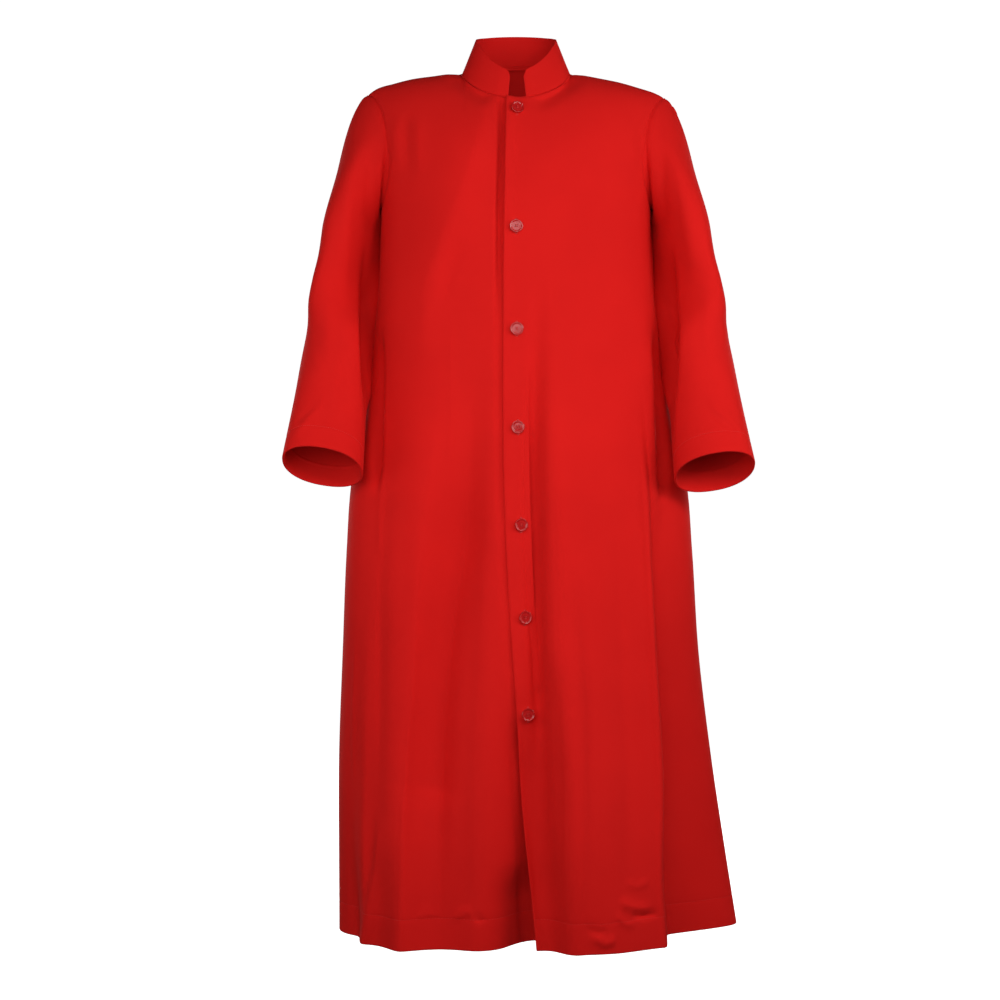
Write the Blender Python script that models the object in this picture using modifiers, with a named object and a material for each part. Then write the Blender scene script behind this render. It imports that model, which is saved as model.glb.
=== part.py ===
"""Cassock, filled out as if worn, hollow and open at neck, cuffs and hem.

Metres, +Z up. The front faces -Y and the wearer's right hand is towards -X. The origin is where the shoulders
hold the garment: in the middle of the neck, at the height of the shoulder seams' inner ends.

The body is one smooth form, cut into panels: rings of a superellipse from the hem up to the chest, and above
them a dome that closes on the shoulder seams. The neckline and the armholes are trimmed out of that dome.
"""

import math
from collections import namedtuple

import bpy
import numpy as np

NAME = "cassock"

# Cloth and seams.
WALL = 0.0015            # thickness of every cloth wall
SEAM_GAP = 0.0003        # space between two pieces at a seam
LAP_GAP = 0.0006         # space between the two fronts where they lap

# Heights.
HEM_Z = -1.362
CHEST_Z = -0.220         # armpits, and foot of the dome
SLIT_Z = -1.035          # just below the last button, where the fronts part

# Shoulders and neck.
TIP_X = 0.238            # shoulder point
NECK_X = 0.086           # inner end of the shoulder seam
NECK_FRONT_DROP = 0.052  # neckline below the origin at the front
NECK_BACK_RISE = 0.022   # neckline above the origin at the back
FRONT_CROWN = 0.006      # height at which the front of the dome would close inside the neckline
BACK_CROWN = 0.040       # the same for the back
NECK_GATHER = 0.6        # how late the dome's rows bend down to the neckline

# Armholes: how far round the half section each one bites, how low its widest place lies, and its roundness.
FRONT_ARMHOLE = 0.30
BACK_ARMHOLE = 0.26
ARMHOLE_SAG = 0.66
ARMHOLE_FULLNESS = 0.75

# Front lap.
UNDER_LAP = 0.040        # how far the right front runs on under the left one
LAP_LEDGE = 0.004        # how far outside the left front's edge it already lies at full depth
LAP_RAMP = 0.012         # width over which it steps down
SLIT_DEPTH = 0.031       # how far the right front falls back at the hem
SLIT_START = 0.115       # how far beside the left front's edge that fall begins
SLIT_SPAN = 0.140        # width over which it grows

# Collar.
COLLAR_RIGHT_END = -0.0131
COLLAR_LEFT_END = 0.0150
COLLAR_BASE_Y = 0.0635   # half the neckline's depth
COLLAR_BASE_SHIFT = -0.013
COLLAR_TOP_X = 0.064
COLLAR_TOP_Y = 0.058
COLLAR_TOP_SHIFT = -0.010
COLLAR_TOP_FRONT_Z = -0.008
COLLAR_TOP_SIDE_Z = 0.054
COLLAR_TOP_BACK_Z = 0.072
COLLAR_ROWS = 4
COLLAR_END_CELL = 0.004  # least width of the collar's end cells

# Buttons.
BUTTON_RADIUS = 0.0100
BUTTON_HEIGHT = 0.0030
BUTTON_RIM = 0.0016
BUTTON_HOLE = 0.0011
BUTTON_HOLE_SPREAD = 0.0019
BUTTON_SEAT = 0.0004

# How finely each piece is drawn.
FRONT_NECK_COLUMNS = 6
LAP_COLUMNS = 2
FRONT_SIDE_COLUMNS = 15
BACK_NECK_COLUMNS = 10
BACK_SIDE_COLUMNS = 11
SKIRT_ROWS = 14
DOME_ROWS = 10
DOME_CROWDING = 1.25     # how much closer the dome's rows lie near the armpits
CAP_STEPS = (0.0, 0.07, 0.25, 0.48, 0.74, 1.0)
ARM_ROWS = 10
FINE = 400               # points on the curves that rows are read from

# Body sections, hem first: half widths to each side, depths to the front and back, how far each side seam
# lies behind the middle, and the superellipse's exponent.
Section = namedtuple("Section", "z right left front back right_seam_y left_seam_y square")
BODY = (
    Section(-1.362, 0.2820, 0.3570, 0.167, 0.175, -0.006, 0.034, 2.3),
    Section(-1.240, 0.2825, 0.3370, 0.164, 0.168, -0.004, 0.028, 2.4),
    Section(-1.080, 0.2820, 0.3125, 0.159, 0.160, -0.002, 0.020, 2.5),
    Section(-0.920, 0.2765, 0.2925, 0.153, 0.152, 0.0, 0.012, 2.5),
    Section(-0.760, 0.2705, 0.2815, 0.148, 0.146, 0.0, 0.004, 2.5),
    Section(-0.650, 0.2625, 0.2715, 0.144, 0.141, 0.0, 0.0, 2.4),
    Section(-0.570, 0.2480, 0.2530, 0.141, 0.138, 0.0, 0.0, 2.35),
    Section(-0.500, 0.2350, 0.2380, 0.138, 0.134, 0.0, 0.0, 2.3),
    Section(-0.430, 0.2275, 0.2290, 0.134, 0.130, 0.0, 0.0, 2.25),
    Section(-0.380, 0.2210, 0.2230, 0.132, 0.128, 0.0, 0.0, 2.25),
    Section(-0.340, 0.2170, 0.2185, 0.130, 0.127, 0.0, 0.0, 2.25),
    Section(-0.280, 0.2150, 0.2150, 0.126, 0.124, 0.0, 0.0, 2.25),
    Section(-0.220, 0.2150, 0.2150, 0.123, 0.122, 0.0, 0.0, 2.25),
)

# Shoulder seams, neck to shoulder point; the left shoulder falls a little more than the right one.
Shoulder = namedtuple("Shoulder", "x right_z left_z")
SHOULDER = (
    Shoulder(0.086, 0.000, 0.000),
    Shoulder(0.110, -0.0005, -0.003),
    Shoulder(0.131, -0.0035, -0.007),
    Shoulder(0.166, -0.0085, -0.014),
    Shoulder(0.195, -0.0155, -0.022),
    Shoulder(0.224, -0.0240, -0.031),
    Shoulder(0.238, -0.0330, -0.0375),
)

# Free edge of the left front, and the line of the buttons.
Lap = namedtuple("Lap", "z edge_x")
LAP = (
    Lap(-1.362, 0.0300),
    Lap(-1.290, 0.0230),
    Lap(-1.150, 0.0080),
    Lap(-1.000, -0.0010),
    Lap(-0.850, -0.0120),
    Lap(-0.680, -0.0195),
    Lap(-0.350, -0.0210),
    Lap(-0.050, -0.0165),
)
Button = namedtuple("Button", "x z")
BUTTONS = (
    Button(0.0008, -0.070),
    Button(-0.0010, -0.260),
    Button(0.0000, -0.418),
    Button(0.0018, -0.569),
    Button(0.0063, -0.718),
    Button(0.0123, -0.859),
    Button(0.0170, -1.006),
)

# Folds: each follows a line down the cloth and stands out (+) or sinks in (-) by its depth.
Fold = namedtuple("Fold", "panel top_z low_z top_x mid_x low_x mid_depth low_depth top_width low_width peak")
FOLDS = (
    # right front
    Fold("front", -0.15, -0.50, -0.065, -0.110, -0.150, 0.0040, 0.0000, 0.030, 0.030, 2.0),
    Fold("front", -0.36, -1.362, -0.092, -0.152, -0.170, 0.0120, 0.0255, 0.040, 0.030, 1.6),
    Fold("front", -0.36, -1.362, -0.048, -0.064, -0.093, -0.0060, -0.0060, 0.024, 0.024, 2.0),
    Fold("front", -0.50, -1.362, -0.200, -0.212, -0.205, -0.0110, 0.0000, 0.020, 0.016, 2.0),
    Fold("front", -0.80, -1.362, -0.226, -0.231, -0.235, 0.0040, 0.0090, 0.014, 0.014, 1.5),
    Fold("front", -0.85, -1.362, -0.255, -0.260, -0.263, -0.0040, -0.0150, 0.018, 0.016, 2.0),
    # left front
    Fold("front", -0.36, -1.362, 0.026, 0.036, 0.052, -0.0060, -0.0030, 0.020, 0.016, 2.0),
    Fold("front", -0.55, -1.362, 0.066, 0.084, 0.086, 0.0050, 0.0060, 0.012, 0.012, 1.4),
    Fold("front", -0.55, -1.362, 0.110, 0.130, 0.140, 0.0060, 0.0190, 0.060, 0.058, 2.0),
    # back
    Fold("back", -0.40, -1.362, 0.040, 0.055, 0.068, 0.0080, 0.0180, 0.040, 0.030, 1.7),
    Fold("back", -0.45, -1.362, -0.060, -0.072, -0.084, 0.0080, 0.0160, 0.040, 0.030, 1.7),
    Fold("back", -0.55, -1.362, -0.005, -0.008, -0.010, -0.0060, -0.0120, 0.035, 0.030, 2.0),
    Fold("back", -0.60, -1.362, 0.165, 0.200, 0.232, 0.0090, 0.0180, 0.035, 0.030, 1.7),
    Fold("back", -0.60, -1.362, -0.155, -0.180, -0.196, 0.0090, 0.0160, 0.035, 0.030, 1.7),
)

# The pleat at the wearer's left: from its edge round to the side seam the cloth falls back.
Pleat = namedtuple("Pleat", "z edge_x recess")
PLEAT = (
    Pleat(-1.362, 0.2340, 0.58),
    Pleat(-1.290, 0.2270, 0.55),
    Pleat(-1.120, 0.2240, 0.44),
    Pleat(-0.920, 0.2135, 0.30),
    Pleat(-0.770, 0.2055, 0.18),
    Pleat(-0.620, 0.1950, 0.07),
    Pleat(-0.500, 0.1880, 0.00),
)
PLEAT_TURN = 0.010       # width over which the cloth turns back
PLEAT_SLOPE = 0.55       # how much deeper it lies at the side seam

# Sleeve sections below the cap, on the wearer's right: centre, half width, half depth, how far the section's
# front edge is tilted up, in degrees, how far its back edge is turned in towards the body and its front edge
# out, and how much lower its inner side hangs.
Arm = namedtuple("Arm", "z x y half_x half_y tilt toe cant")
ARM = (
    Arm(-0.628, -0.2975, -0.125, 0.0620, 0.050, 36.0, 0.000, 0.009),
    Arm(-0.530, -0.2890, -0.082, 0.0565, 0.057, 28.0, 0.000, 0.003),
    Arm(-0.430, -0.2795, -0.034, 0.0530, 0.067, 16.0, 0.001, 0.000),
    Arm(-0.380, -0.2745, -0.016, 0.0430, 0.071, 10.0, 0.027, 0.000),
    Arm(-0.340, -0.2685, -0.006, 0.0390, 0.073, 6.0, 0.032, 0.000),
    Arm(-0.300, -0.2650, -0.002, 0.0385, 0.075, 3.0, 0.025, 0.000),
    Arm(-0.250, -0.2625, 0.000, 0.0400, 0.077, 0.0, 0.016, 0.000),
)
ARM_SQUARE = 2.2
LEFT_SWING = 0.006       # how much further out the left cuff hangs
LEFT_DROP = 0.008        # and how much lower
CAP_PULL = 0.55          # how far the sleeve head keeps the shoulder's direction
CAP_OUT = 0.84           # direction in which the sleeve leaves the shoulder: outwards
CAP_DOWN = 0.54          # and down
CAP_UNDERARM = 3.0       # how closely the straight-down start keeps to the underarm
UNDERARM_RUN = 0.12      # outward for each metre down, where the sleeve leaves the armpit
ARM_RUN = 0.17           # the same where the cap meets the arm
ARMHOLE_CORE = (0.0, 0.0, -0.20)   # a point inside the body, level with the armholes

RED = (0.620, 0.009, 0.008, 1.0)
BUTTON_RED = (0.560, 0.010, 0.012, 1.0)


def along(table, key, field, at):
    """A smooth value of one column of a table, read at one or more places of its key column."""
    rows = sorted(table, key=lambda row: getattr(row, key))
    keys = np.array([getattr(row, key) for row in rows])
    values = np.array([getattr(row, field) for row in rows])
    slopes = np.gradient(values, keys)
    at = np.clip(np.asarray(at, dtype=float), keys[0], keys[-1])
    i = np.clip(np.searchsorted(keys, at) - 1, 0, len(keys) - 2)
    step = keys[i + 1] - keys[i]
    t = (at - keys[i]) / step
    return (
        (2 * t**3 - 3 * t**2 + 1) * values[i]
        + (t**3 - 2 * t**2 + t) * step * slopes[i]
        + (3 * t**2 - 2 * t**3) * values[i + 1]
        + (t**3 - t**2) * step * slopes[i + 1]
    )


def ease(value):
    """Smooth step from 0 to 1."""
    t = np.clip(value, 0.0, 1.0)
    return t * t * (3.0 - 2.0 * t)


def signed_power(value, power):
    """Power of the magnitude, with the sign kept."""
    return np.sign(value) * np.abs(value) ** power


def fold_depth(panel, x, z):
    """How far the folds lift one panel's cloth at the place x, z."""
    total = np.zeros_like(x)
    for fold in FOLDS:
        if fold.panel != panel:
            continue
        t = np.clip((fold.top_z - z) / (fold.top_z - fold.low_z), 0.0, 1.0)
        line = (1 - t) * (1 - 2 * t) * fold.top_x + 4 * t * (1 - t) * fold.mid_x + t * (2 * t - 1) * fold.low_x
        width = fold.top_width + t * (fold.low_width - fold.top_width)
        rise = np.where(t < 0.5, ease(2 * t) * fold.mid_depth,
                        fold.mid_depth + ease(2 * t - 1) * (fold.low_depth - fold.mid_depth))
        total = total + rise * np.exp(-np.abs((x - line) / width) ** fold.peak)
    return total


def chest_section(panel, turn, z):
    """Plan of the body at height z: turn runs from -1, the right side seam, to 1, the left one."""
    square = along(BODY, "z", "square", z)
    half = np.where(turn < 0, along(BODY, "z", "right", z), along(BODY, "z", "left", z))
    depth = along(BODY, "z", panel, z) * (-1.0 if panel == "front" else 1.0)
    angle = turn * math.pi / 2
    x = half * signed_power(np.sin(angle), 2 / square)
    y = depth * np.abs(np.cos(angle)) ** (2 / square)
    return x, y, half, depth


def ridge_height(panel, x):
    """Height at which the dome closes above x: the shoulder seam, or the crown inside the neckline."""
    crown = FRONT_CROWN if panel == "front" else BACK_CROWN
    inside = crown * (1 - np.clip(np.abs(x) / NECK_X, 0, 1) ** 2)
    right = along(SHOULDER, "x", "right_z", np.abs(x))
    left = along(SHOULDER, "x", "left_z", np.abs(x))
    return np.where(np.abs(x) < NECK_X, inside, np.where(x < 0, right, left))


def neckline_height(panel, x):
    """Height of the neckline at x, level with the origin at the shoulder seams."""
    rise = -NECK_FRONT_DROP if panel == "front" else NECK_BACK_RISE
    return rise * np.sqrt(np.clip(1 - (x / NECK_X) ** 2, 0, 1))


def dome_square(x):
    """Exponent of the dome's upright section: rounder at the neck, fuller towards the shoulder point."""
    return 2.0 + 0.4 * np.clip(np.abs(x) / TIP_X, 0, 1) ** 2


def body_points(panel, turn, level):
    """Points of the body's outer surface.

    level runs from -1 at the hem through 0 at the chest to 1 at the neckline and the shoulder seams.
    """
    if level <= 0:
        z = CHEST_Z + level * (CHEST_Z - HEM_Z)
        x, y, half, depth = chest_section(panel, turn, z)
        z = np.full_like(x, z)
        fade = 1.0
    else:
        x0, y0, half, depth = chest_section(panel, turn, CHEST_Z)
        top_x = x0 * TIP_X / half
        square = dome_square(top_x)
        crest = ridge_height(panel, top_x)
        trim = np.where(np.abs(top_x) < NECK_X, neckline_height(panel, top_x), crest)
        share = np.clip((trim - CHEST_Z) / (crest - CHEST_Z), 0.0, 1.0)
        shortfall = 1 - np.arcsin(share ** (square / 2)) * 2 / math.pi
        angle = math.pi / 2 * level * (1 - shortfall * level**NECK_GATHER)
        x = x0 + (top_x - x0) * np.sin(angle)
        y = y0 * np.cos(angle) ** (2 / square)
        z = CHEST_Z + (crest - CHEST_Z) * np.sin(angle) ** (2 / square)
        fade = np.cos(angle)
    normal_x = x / half**2
    normal_y = y / depth**2
    length = np.hypot(normal_x, normal_y) + 1e-9
    lift = fold_depth(panel, x, z) * fade * ease((1.0 - np.abs(turn)) / 0.15)
    x = x + lift * normal_x / length
    y = y + lift * normal_y / length
    if panel == "front":
        edge = along(PLEAT, "z", "edge_x", z)
        beyond = np.clip((x - edge) / (half - edge), 0.0, 1.0)
        recess = along(PLEAT, "z", "recess", z) * (1 + PLEAT_SLOPE * beyond) * (z < PLEAT[-1].z)
        y = y * (1 - recess * ease((x - edge) / PLEAT_TURN + 0.5))
    seam_y = np.where(turn < 0, along(BODY, "z", "right_seam_y", z), along(BODY, "z", "left_seam_y", z))
    y = y + seam_y * np.abs(turn) ** 3
    return np.stack([x, y, z], axis=-1)


def armhole_turn(panel, level):
    """How far round from the middle a panel's rows run above the armpit."""
    bite = FRONT_ARMHOLE if panel == "front" else BACK_ARMHOLE
    return 1.0 - bite * max(math.sin(math.pi * max(level, 0.0) ** ARMHOLE_SAG), 0.0) ** ARMHOLE_FULLNESS


def neck_turn():
    """Place round the section of the column that meets the shoulder seam's inner end, on each side."""
    square = along(BODY, "z", "square", CHEST_Z)
    return 2 / math.pi * math.asin((NECK_X / TIP_X) ** (square / 2))


def path_length(points):
    """Length of a path up to each of its points."""
    return np.concatenate([[0.0], np.cumsum(np.linalg.norm(np.diff(points, axis=0), axis=1))])


def spread(points, count):
    """The same path with its points at even distances."""
    length = path_length(points)
    wanted = np.linspace(0.0, length[-1], count + 1)
    return np.stack([np.interp(wanted, length, points[:, axis]) for axis in range(3)], axis=-1)


def turn_at_x(panel, level, x):
    """Place round the front section where its cloth reaches x, near the middle."""
    turns = np.linspace(-0.4, 0.4, FINE)
    return float(np.interp(x, body_points(panel, turns, level)[:, 0], turns))


def row(panel, level, turns, counts):
    """One row of a panel, through the given places round the section, with so many cells between each two."""
    pieces = []
    for start, end, count in zip(turns, turns[1:], counts):
        path = body_points(panel, np.linspace(start, end, FINE), level)
        pieces.append(spread(path, count)[:-1])
    pieces.append(path[-1:])
    return np.concatenate(pieces)


def levels():
    """Levels of the rows from the hem to the neck."""
    skirt = np.linspace(-1.0, 0.0, SKIRT_ROWS + 1)
    dome = np.linspace(0.0, 1.0, DOME_ROWS + 1) ** DOME_CROWDING
    return [float(level) for level in np.concatenate([skirt, dome[1:]])]


def row_height(level):
    """Height at which a row crosses the middle of the front."""
    return float(body_points("front", np.array([0.0]), level)[0, 2])


def front_grid(side):
    """Rows of a front panel from its free edge to its side seam; side is -1 for the right, 1 for the left."""
    grid = []
    for level in levels():
        edge = float(along(LAP, "z", "edge_x", row_height(level)))
        turns = [side * neck_turn(), side * armhole_turn("front", level)]
        counts = [FRONT_NECK_COLUMNS, FRONT_SIDE_COLUMNS]
        if side < 0:
            turns = [turn_at_x("front", level, edge + UNDER_LAP),
                     turn_at_x("front", level, edge - LAP_LEDGE)] + turns
            counts = [LAP_COLUMNS] + counts
        else:
            turns = [turn_at_x("front", level, edge)] + turns
        grid.append(row("front", level, turns, counts))
    return np.array(grid)


def sink_under_lap(grid):
    """Lay the right front's free edge under the left front, and let it fall back below the last button."""
    x, z = grid[..., 0], grid[..., 2]
    edge = along(LAP, "z", "edge_x", z)
    lap = (WALL + LAP_GAP) * ease((x - edge + LAP_LEDGE + LAP_RAMP) / LAP_RAMP)
    parted = np.clip((SLIT_Z - z) / (SLIT_Z - HEM_Z), 0.0, 1.0)
    fall = SLIT_DEPTH * parted**1.5 * ease((x - edge + SLIT_START) / SLIT_SPAN)
    grid[..., 1] += lap + fall
    return grid


def back_grid():
    """Rows of the back panel from the right side seam to the left one."""
    grid = []
    for level in levels():
        reach = armhole_turn("back", level)
        turns = [-reach, -neck_turn(), neck_turn(), reach]
        grid.append(row("back", level, turns, [BACK_SIDE_COLUMNS, BACK_NECK_COLUMNS, BACK_SIDE_COLUMNS]))
    return np.array(grid)


def unit(vectors):
    """The same vectors, one long."""
    return vectors / (np.linalg.norm(vectors, axis=-1, keepdims=True) + 1e-12)


def part_at_seam(first, seam, second):
    """Draw two pieces back from their common seam, so that their walls stay clear on the inside too."""
    into = unit(seam - first)
    out = unit(second - seam)
    cosine = np.clip((into * out).sum(axis=-1, keepdims=True), -0.9, 1.0)
    back_off = SEAM_GAP / 2 + WALL * np.sqrt((1 - cosine) / (1 + cosine))
    return seam - back_off * into, seam + back_off * out


def sew_body(right, left, back):
    """Open the side seams and the shoulder seams by the seam gap."""
    body_rows = SKIRT_ROWS + 1
    neck_cells = BACK_SIDE_COLUMNS + BACK_NECK_COLUMNS
    for front, edge, inner in ((right, 0, 1), (left, -1, -2)):
        seam = front[:body_rows, -1].copy()
        front[:body_rows, -1], back[:body_rows, edge] = part_at_seam(
            front[:body_rows, -2], seam, back[:body_rows, inner])
    for front, neck_column, columns in (
            (right, LAP_COLUMNS + FRONT_NECK_COLUMNS, slice(BACK_SIDE_COLUMNS, None, -1)),
            (left, FRONT_NECK_COLUMNS, slice(neck_cells, None))):
        shoulder = slice(neck_column, None)
        seam = front[-1, shoulder].copy()
        below = back[-2, columns]
        turns = np.linspace(0, 1, len(below))
        wanted = np.linspace(0, 1, len(seam))
        behind = np.stack([np.interp(wanted, turns, below[:, axis]) for axis in range(3)], axis=-1)
        front[-1, shoulder], _ = part_at_seam(front[-2, shoulder], seam, behind)
        rim = back[-1, columns].copy()
        ahead_turns = np.linspace(0, 1, len(seam))
        ahead = np.stack([np.interp(turns, ahead_turns, front[-2, shoulder][:, axis]) for axis in range(3)],
                         axis=-1)
        back[-1, columns], _ = part_at_seam(below, rim, ahead)


def armhole(front, edge, back, back_edge):
    """The armhole from the shoulder point down the front, round the armpit and up the back.

    Returns its points, which are the panels' own, and the panels' outward direction at each.
    """
    points, normals = [], []
    for panel, column, falling in ((front, edge, True), (back, back_edge, False)):
        upper = panel[SKIRT_ROWS:]
        line = upper[:, column]
        across = line - upper[:, 1 if column == 0 else -2]
        outward = unit(np.cross(np.gradient(line, axis=0), across))
        outward *= np.sign((outward * (line - ARMHOLE_CORE)).sum(axis=1, keepdims=True))
        points.append(line[::-1][:-1] if falling else line[:-1])
        normals.append(outward[::-1][:-1] if falling else outward[:-1])
    return np.concatenate(points), np.concatenate(normals)


def arm_ring(side, z, shares):
    """One section of the sleeve, from its outer side round the front, the inner side and the back."""
    x, y, half_x, half_y, tilt, toe, cant = (
        float(along(ARM, "z", field, z)) for field in ("x", "y", "half_x", "half_y", "tilt", "toe", "cant"))
    down = (ARM[-1].z - z) / (ARM[-1].z - ARM[0].z)
    if side > 0:
        x -= LEFT_SWING * down
        z -= LEFT_DROP * down
    lean = math.radians(tilt)
    halves = []
    for start, share in zip((0.0, math.pi), shares):
        angle = np.linspace(start, start + math.pi, FINE)
        ahead = half_y * signed_power(np.sin(angle), 2 / ARM_SQUARE)
        inward = -signed_power(np.cos(angle), 2 / ARM_SQUARE)
        path = np.stack([x + half_x * inward - toe * ahead / half_y,
                         y - ahead * math.cos(lean),
                         z + ahead * math.sin(lean) - cant * inward], axis=-1)
        length = path_length(path)
        halves.append(np.stack([np.interp(share * length[-1], length, path[:, axis]) for axis in range(3)],
                               axis=-1)[:-1])
    ring = np.concatenate(halves)
    ring[:, 0] *= -side
    return ring


def sleeve_grid(side, points, normals):
    """Rings of a sleeve from the armhole to the cuff; side is -1 for the right, 1 for the left."""
    closed = np.concatenate([points, points[:1]])
    shares = []
    for half in (closed[:DOME_ROWS + 1], closed[DOME_ROWS:]):
        length = path_length(half)
        shares.append(length / length[-1])
    top = points + np.array([side * SEAM_GAP, 0.0, 0.0])
    upper = arm_ring(side, ARM[-1].z, shares)
    place = np.concatenate([shares[0][:-1], 1 + shares[1][:-1]]) * math.pi
    inner = ((1 - np.cos(place))[:, None] / 2) ** CAP_UNDERARM
    head = np.array([side * CAP_OUT, 0.0, -CAP_DOWN])
    underarm = np.array([side * UNDERARM_RUN, 0.0, -1.0])
    start = unit((1 - inner) * head + inner * underarm)
    finish = unit(np.array([side * ARM_RUN, 0.0, -1.0]))
    reach = np.linalg.norm(upper - top, axis=1, keepdims=True)
    rings = []
    for t in CAP_STEPS:
        rings.append((2 * t**3 - 3 * t**2 + 1) * top + (t**3 - 2 * t**2 + t) * reach * start * CAP_PULL
                     + (3 * t**2 - 2 * t**3) * upper + (t**3 - t**2) * reach * finish)
    chord = unit(rings[1] - rings[0])
    turn = np.clip(-(chord * normals).sum(axis=1, keepdims=True), 0.0, 0.9)
    rings[0] = rings[0] + chord * WALL * turn / np.sqrt(1 - turn**2)
    for z in np.linspace(ARM[-1].z, ARM[0].z, ARM_ROWS + 1)[1:]:
        rings.append(arm_ring(side, float(z), shares))
    return np.array(rings)


def neck_seam(right, left, back):
    """The neckline from the right front's collar end round the back to the left front's."""
    ends = []
    for front, end, cells in ((right, COLLAR_RIGHT_END, LAP_COLUMNS + FRONT_NECK_COLUMNS),
                              (left, COLLAR_LEFT_END, FRONT_NECK_COLUMNS)):
        line = front[-1, :cells + 1]
        order = np.argsort(line[:, 0])
        start = np.array([np.interp(end, line[order, 0], line[order, axis]) for axis in range(3)])
        beyond = line[line[:, 0] * np.sign(end) > abs(end) + COLLAR_END_CELL]
        ends.append(np.concatenate([start[None], beyond[:-1]]))
    behind = back[-1, BACK_SIDE_COLUMNS:BACK_SIDE_COLUMNS + BACK_NECK_COLUMNS + 1]
    return np.concatenate([ends[0], behind, ends[1][::-1]])


def collar_grid(seam):
    """Rows of the collar from its seam to its top edge, which dips to the two front corners."""
    base = seam + np.array([0.0, 0.0, SEAM_GAP])
    around = np.arctan2(base[:, 0] / NECK_X, (COLLAR_BASE_SHIFT - base[:, 1]) / COLLAR_BASE_Y)
    facing = np.cos(around)
    top_z = np.where(
        facing > 0,
        COLLAR_TOP_SIDE_Z - (COLLAR_TOP_SIDE_Z - COLLAR_TOP_FRONT_Z) * np.abs(facing)**1.5,
        COLLAR_TOP_SIDE_Z + (COLLAR_TOP_BACK_Z - COLLAR_TOP_SIDE_Z) * np.abs(facing))
    top = np.stack([
        COLLAR_TOP_X * np.sin(around),
        COLLAR_TOP_SHIFT - COLLAR_TOP_Y * facing,
        top_z,
    ], axis=-1)
    return np.array([base + (top - base) * step for step in np.linspace(0, 1, COLLAR_ROWS)])


def cloth(name, grid, collection, material, ring=False, flip=False):
    """A cloth piece: an open sheet through a grid of points, given its wall by Solidify."""
    rows, columns = grid.shape[:2]
    last = columns if ring else columns - 1
    faces = []
    for r in range(rows - 1):
        for c in range(last):
            across = (c + 1) % columns
            face = (r * columns + c, r * columns + across, (r + 1) * columns + across, (r + 1) * columns + c)
            faces.append(face[::-1] if flip else face)
    mesh = bpy.data.meshes.new(name)
    mesh.from_pydata([tuple(point) for point in grid.reshape(-1, 3)], [], faces)
    mesh.shade_smooth()
    piece = bpy.data.objects.new(name, mesh)
    collection.objects.link(piece)
    piece.data.materials.append(material)
    wall = piece.modifiers.new("wall", "SOLIDIFY")
    wall.thickness = WALL
    wall.offset = -1.0
    return piece


def front_surface(x, z):
    """Point of the left front's outer face at x and z, and its outward direction."""
    def depth_at(place_x, place_z):
        level_low, level_high = -1.0, 1.0
        for _ in range(50):
            level = (level_low + level_high) / 2
            if row_height(level) < place_z:
                level_low = level
            else:
                level_high = level
        turn = turn_at_x("front", level, place_x)
        return float(body_points("front", np.array([turn]), level)[0, 1])

    step = 0.004
    slope_x = (depth_at(x + step, z) - depth_at(x - step, z)) / (2 * step)
    slope_z = (depth_at(x, z + step) - depth_at(x, z - step)) / (2 * step)
    return np.array([x, depth_at(x, z), z]), unit(np.array([slope_x, -1.0, slope_z]))


def button_mesh(material):
    """A four-hole button with a raised rim, its back in the plane y = 0 and its face towards -Y."""
    profile = (
        (0.0, 0.0), (BUTTON_RADIUS - 0.0008, 0.0), (BUTTON_RADIUS, 0.0010),
        (BUTTON_RADIUS - 0.0004, BUTTON_HEIGHT), (BUTTON_RADIUS - BUTTON_RIM, BUTTON_HEIGHT - 0.0002),
        (BUTTON_RADIUS - BUTTON_RIM - 0.0012, BUTTON_HEIGHT - 0.0011), (0.0, BUTTON_HEIGHT - 0.0011),
    )
    mesh = bpy.data.meshes.new("button_profile")
    mesh.from_pydata([(radius, -height, 0.0) for radius, height in profile], [],
                     [(i, i + 1) for i in range(len(profile) - 1)])
    blank = bpy.data.objects.new("button_blank", mesh)
    bpy.context.scene.collection.objects.link(blank)
    turned = blank.modifiers.new("turned", "SCREW")
    turned.axis = "Y"
    turned.steps = turned.render_steps = 18
    turned.use_merge_vertices = True
    turned.merge_threshold = 0.00001
    drills = bpy.data.collections.new("cutters")
    bpy.context.scene.collection.children.link(drills)
    for quarter in range(4):
        angle = math.radians(45 + 90 * quarter)
        bpy.ops.mesh.primitive_cylinder_add(
            vertices=6, radius=BUTTON_HOLE, depth=4 * BUTTON_HEIGHT,
            location=(BUTTON_HOLE_SPREAD * math.cos(angle), 0.0, BUTTON_HOLE_SPREAD * math.sin(angle)),
            rotation=(math.pi / 2, 0.0, 0.0))
        drill = bpy.context.object
        drill.name = f"drill_{quarter + 1}"
        drill.hide_render = True
        drill.display_type = "WIRE"
        for owner in list(drill.users_collection):
            owner.objects.unlink(drill)
        drills.objects.link(drill)
        cut = blank.modifiers.new(drill.name, "BOOLEAN")
        cut.operation = "DIFFERENCE"
        cut.object = drill
    bpy.context.view_layer.update()
    graph = bpy.context.evaluated_depsgraph_get()
    done = bpy.data.meshes.new_from_object(blank.evaluated_get(graph))
    done.name = "button"
    bpy.data.objects.remove(blank)
    done.materials.clear()
    done.materials.append(material)
    done.shade_smooth()
    done.set_sharp_from_angle(angle=math.radians(35))
    return done


def plain_material(name, colour, roughness):
    """A plain Principled material."""
    material = bpy.data.materials.new(name)
    material.use_nodes = True
    shader = material.node_tree.nodes["Principled BSDF"]
    shader.inputs["Base Color"].default_value = colour
    shader.inputs["Roughness"].default_value = roughness
    shader.inputs["Metallic"].default_value = 0.0
    return material


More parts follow.
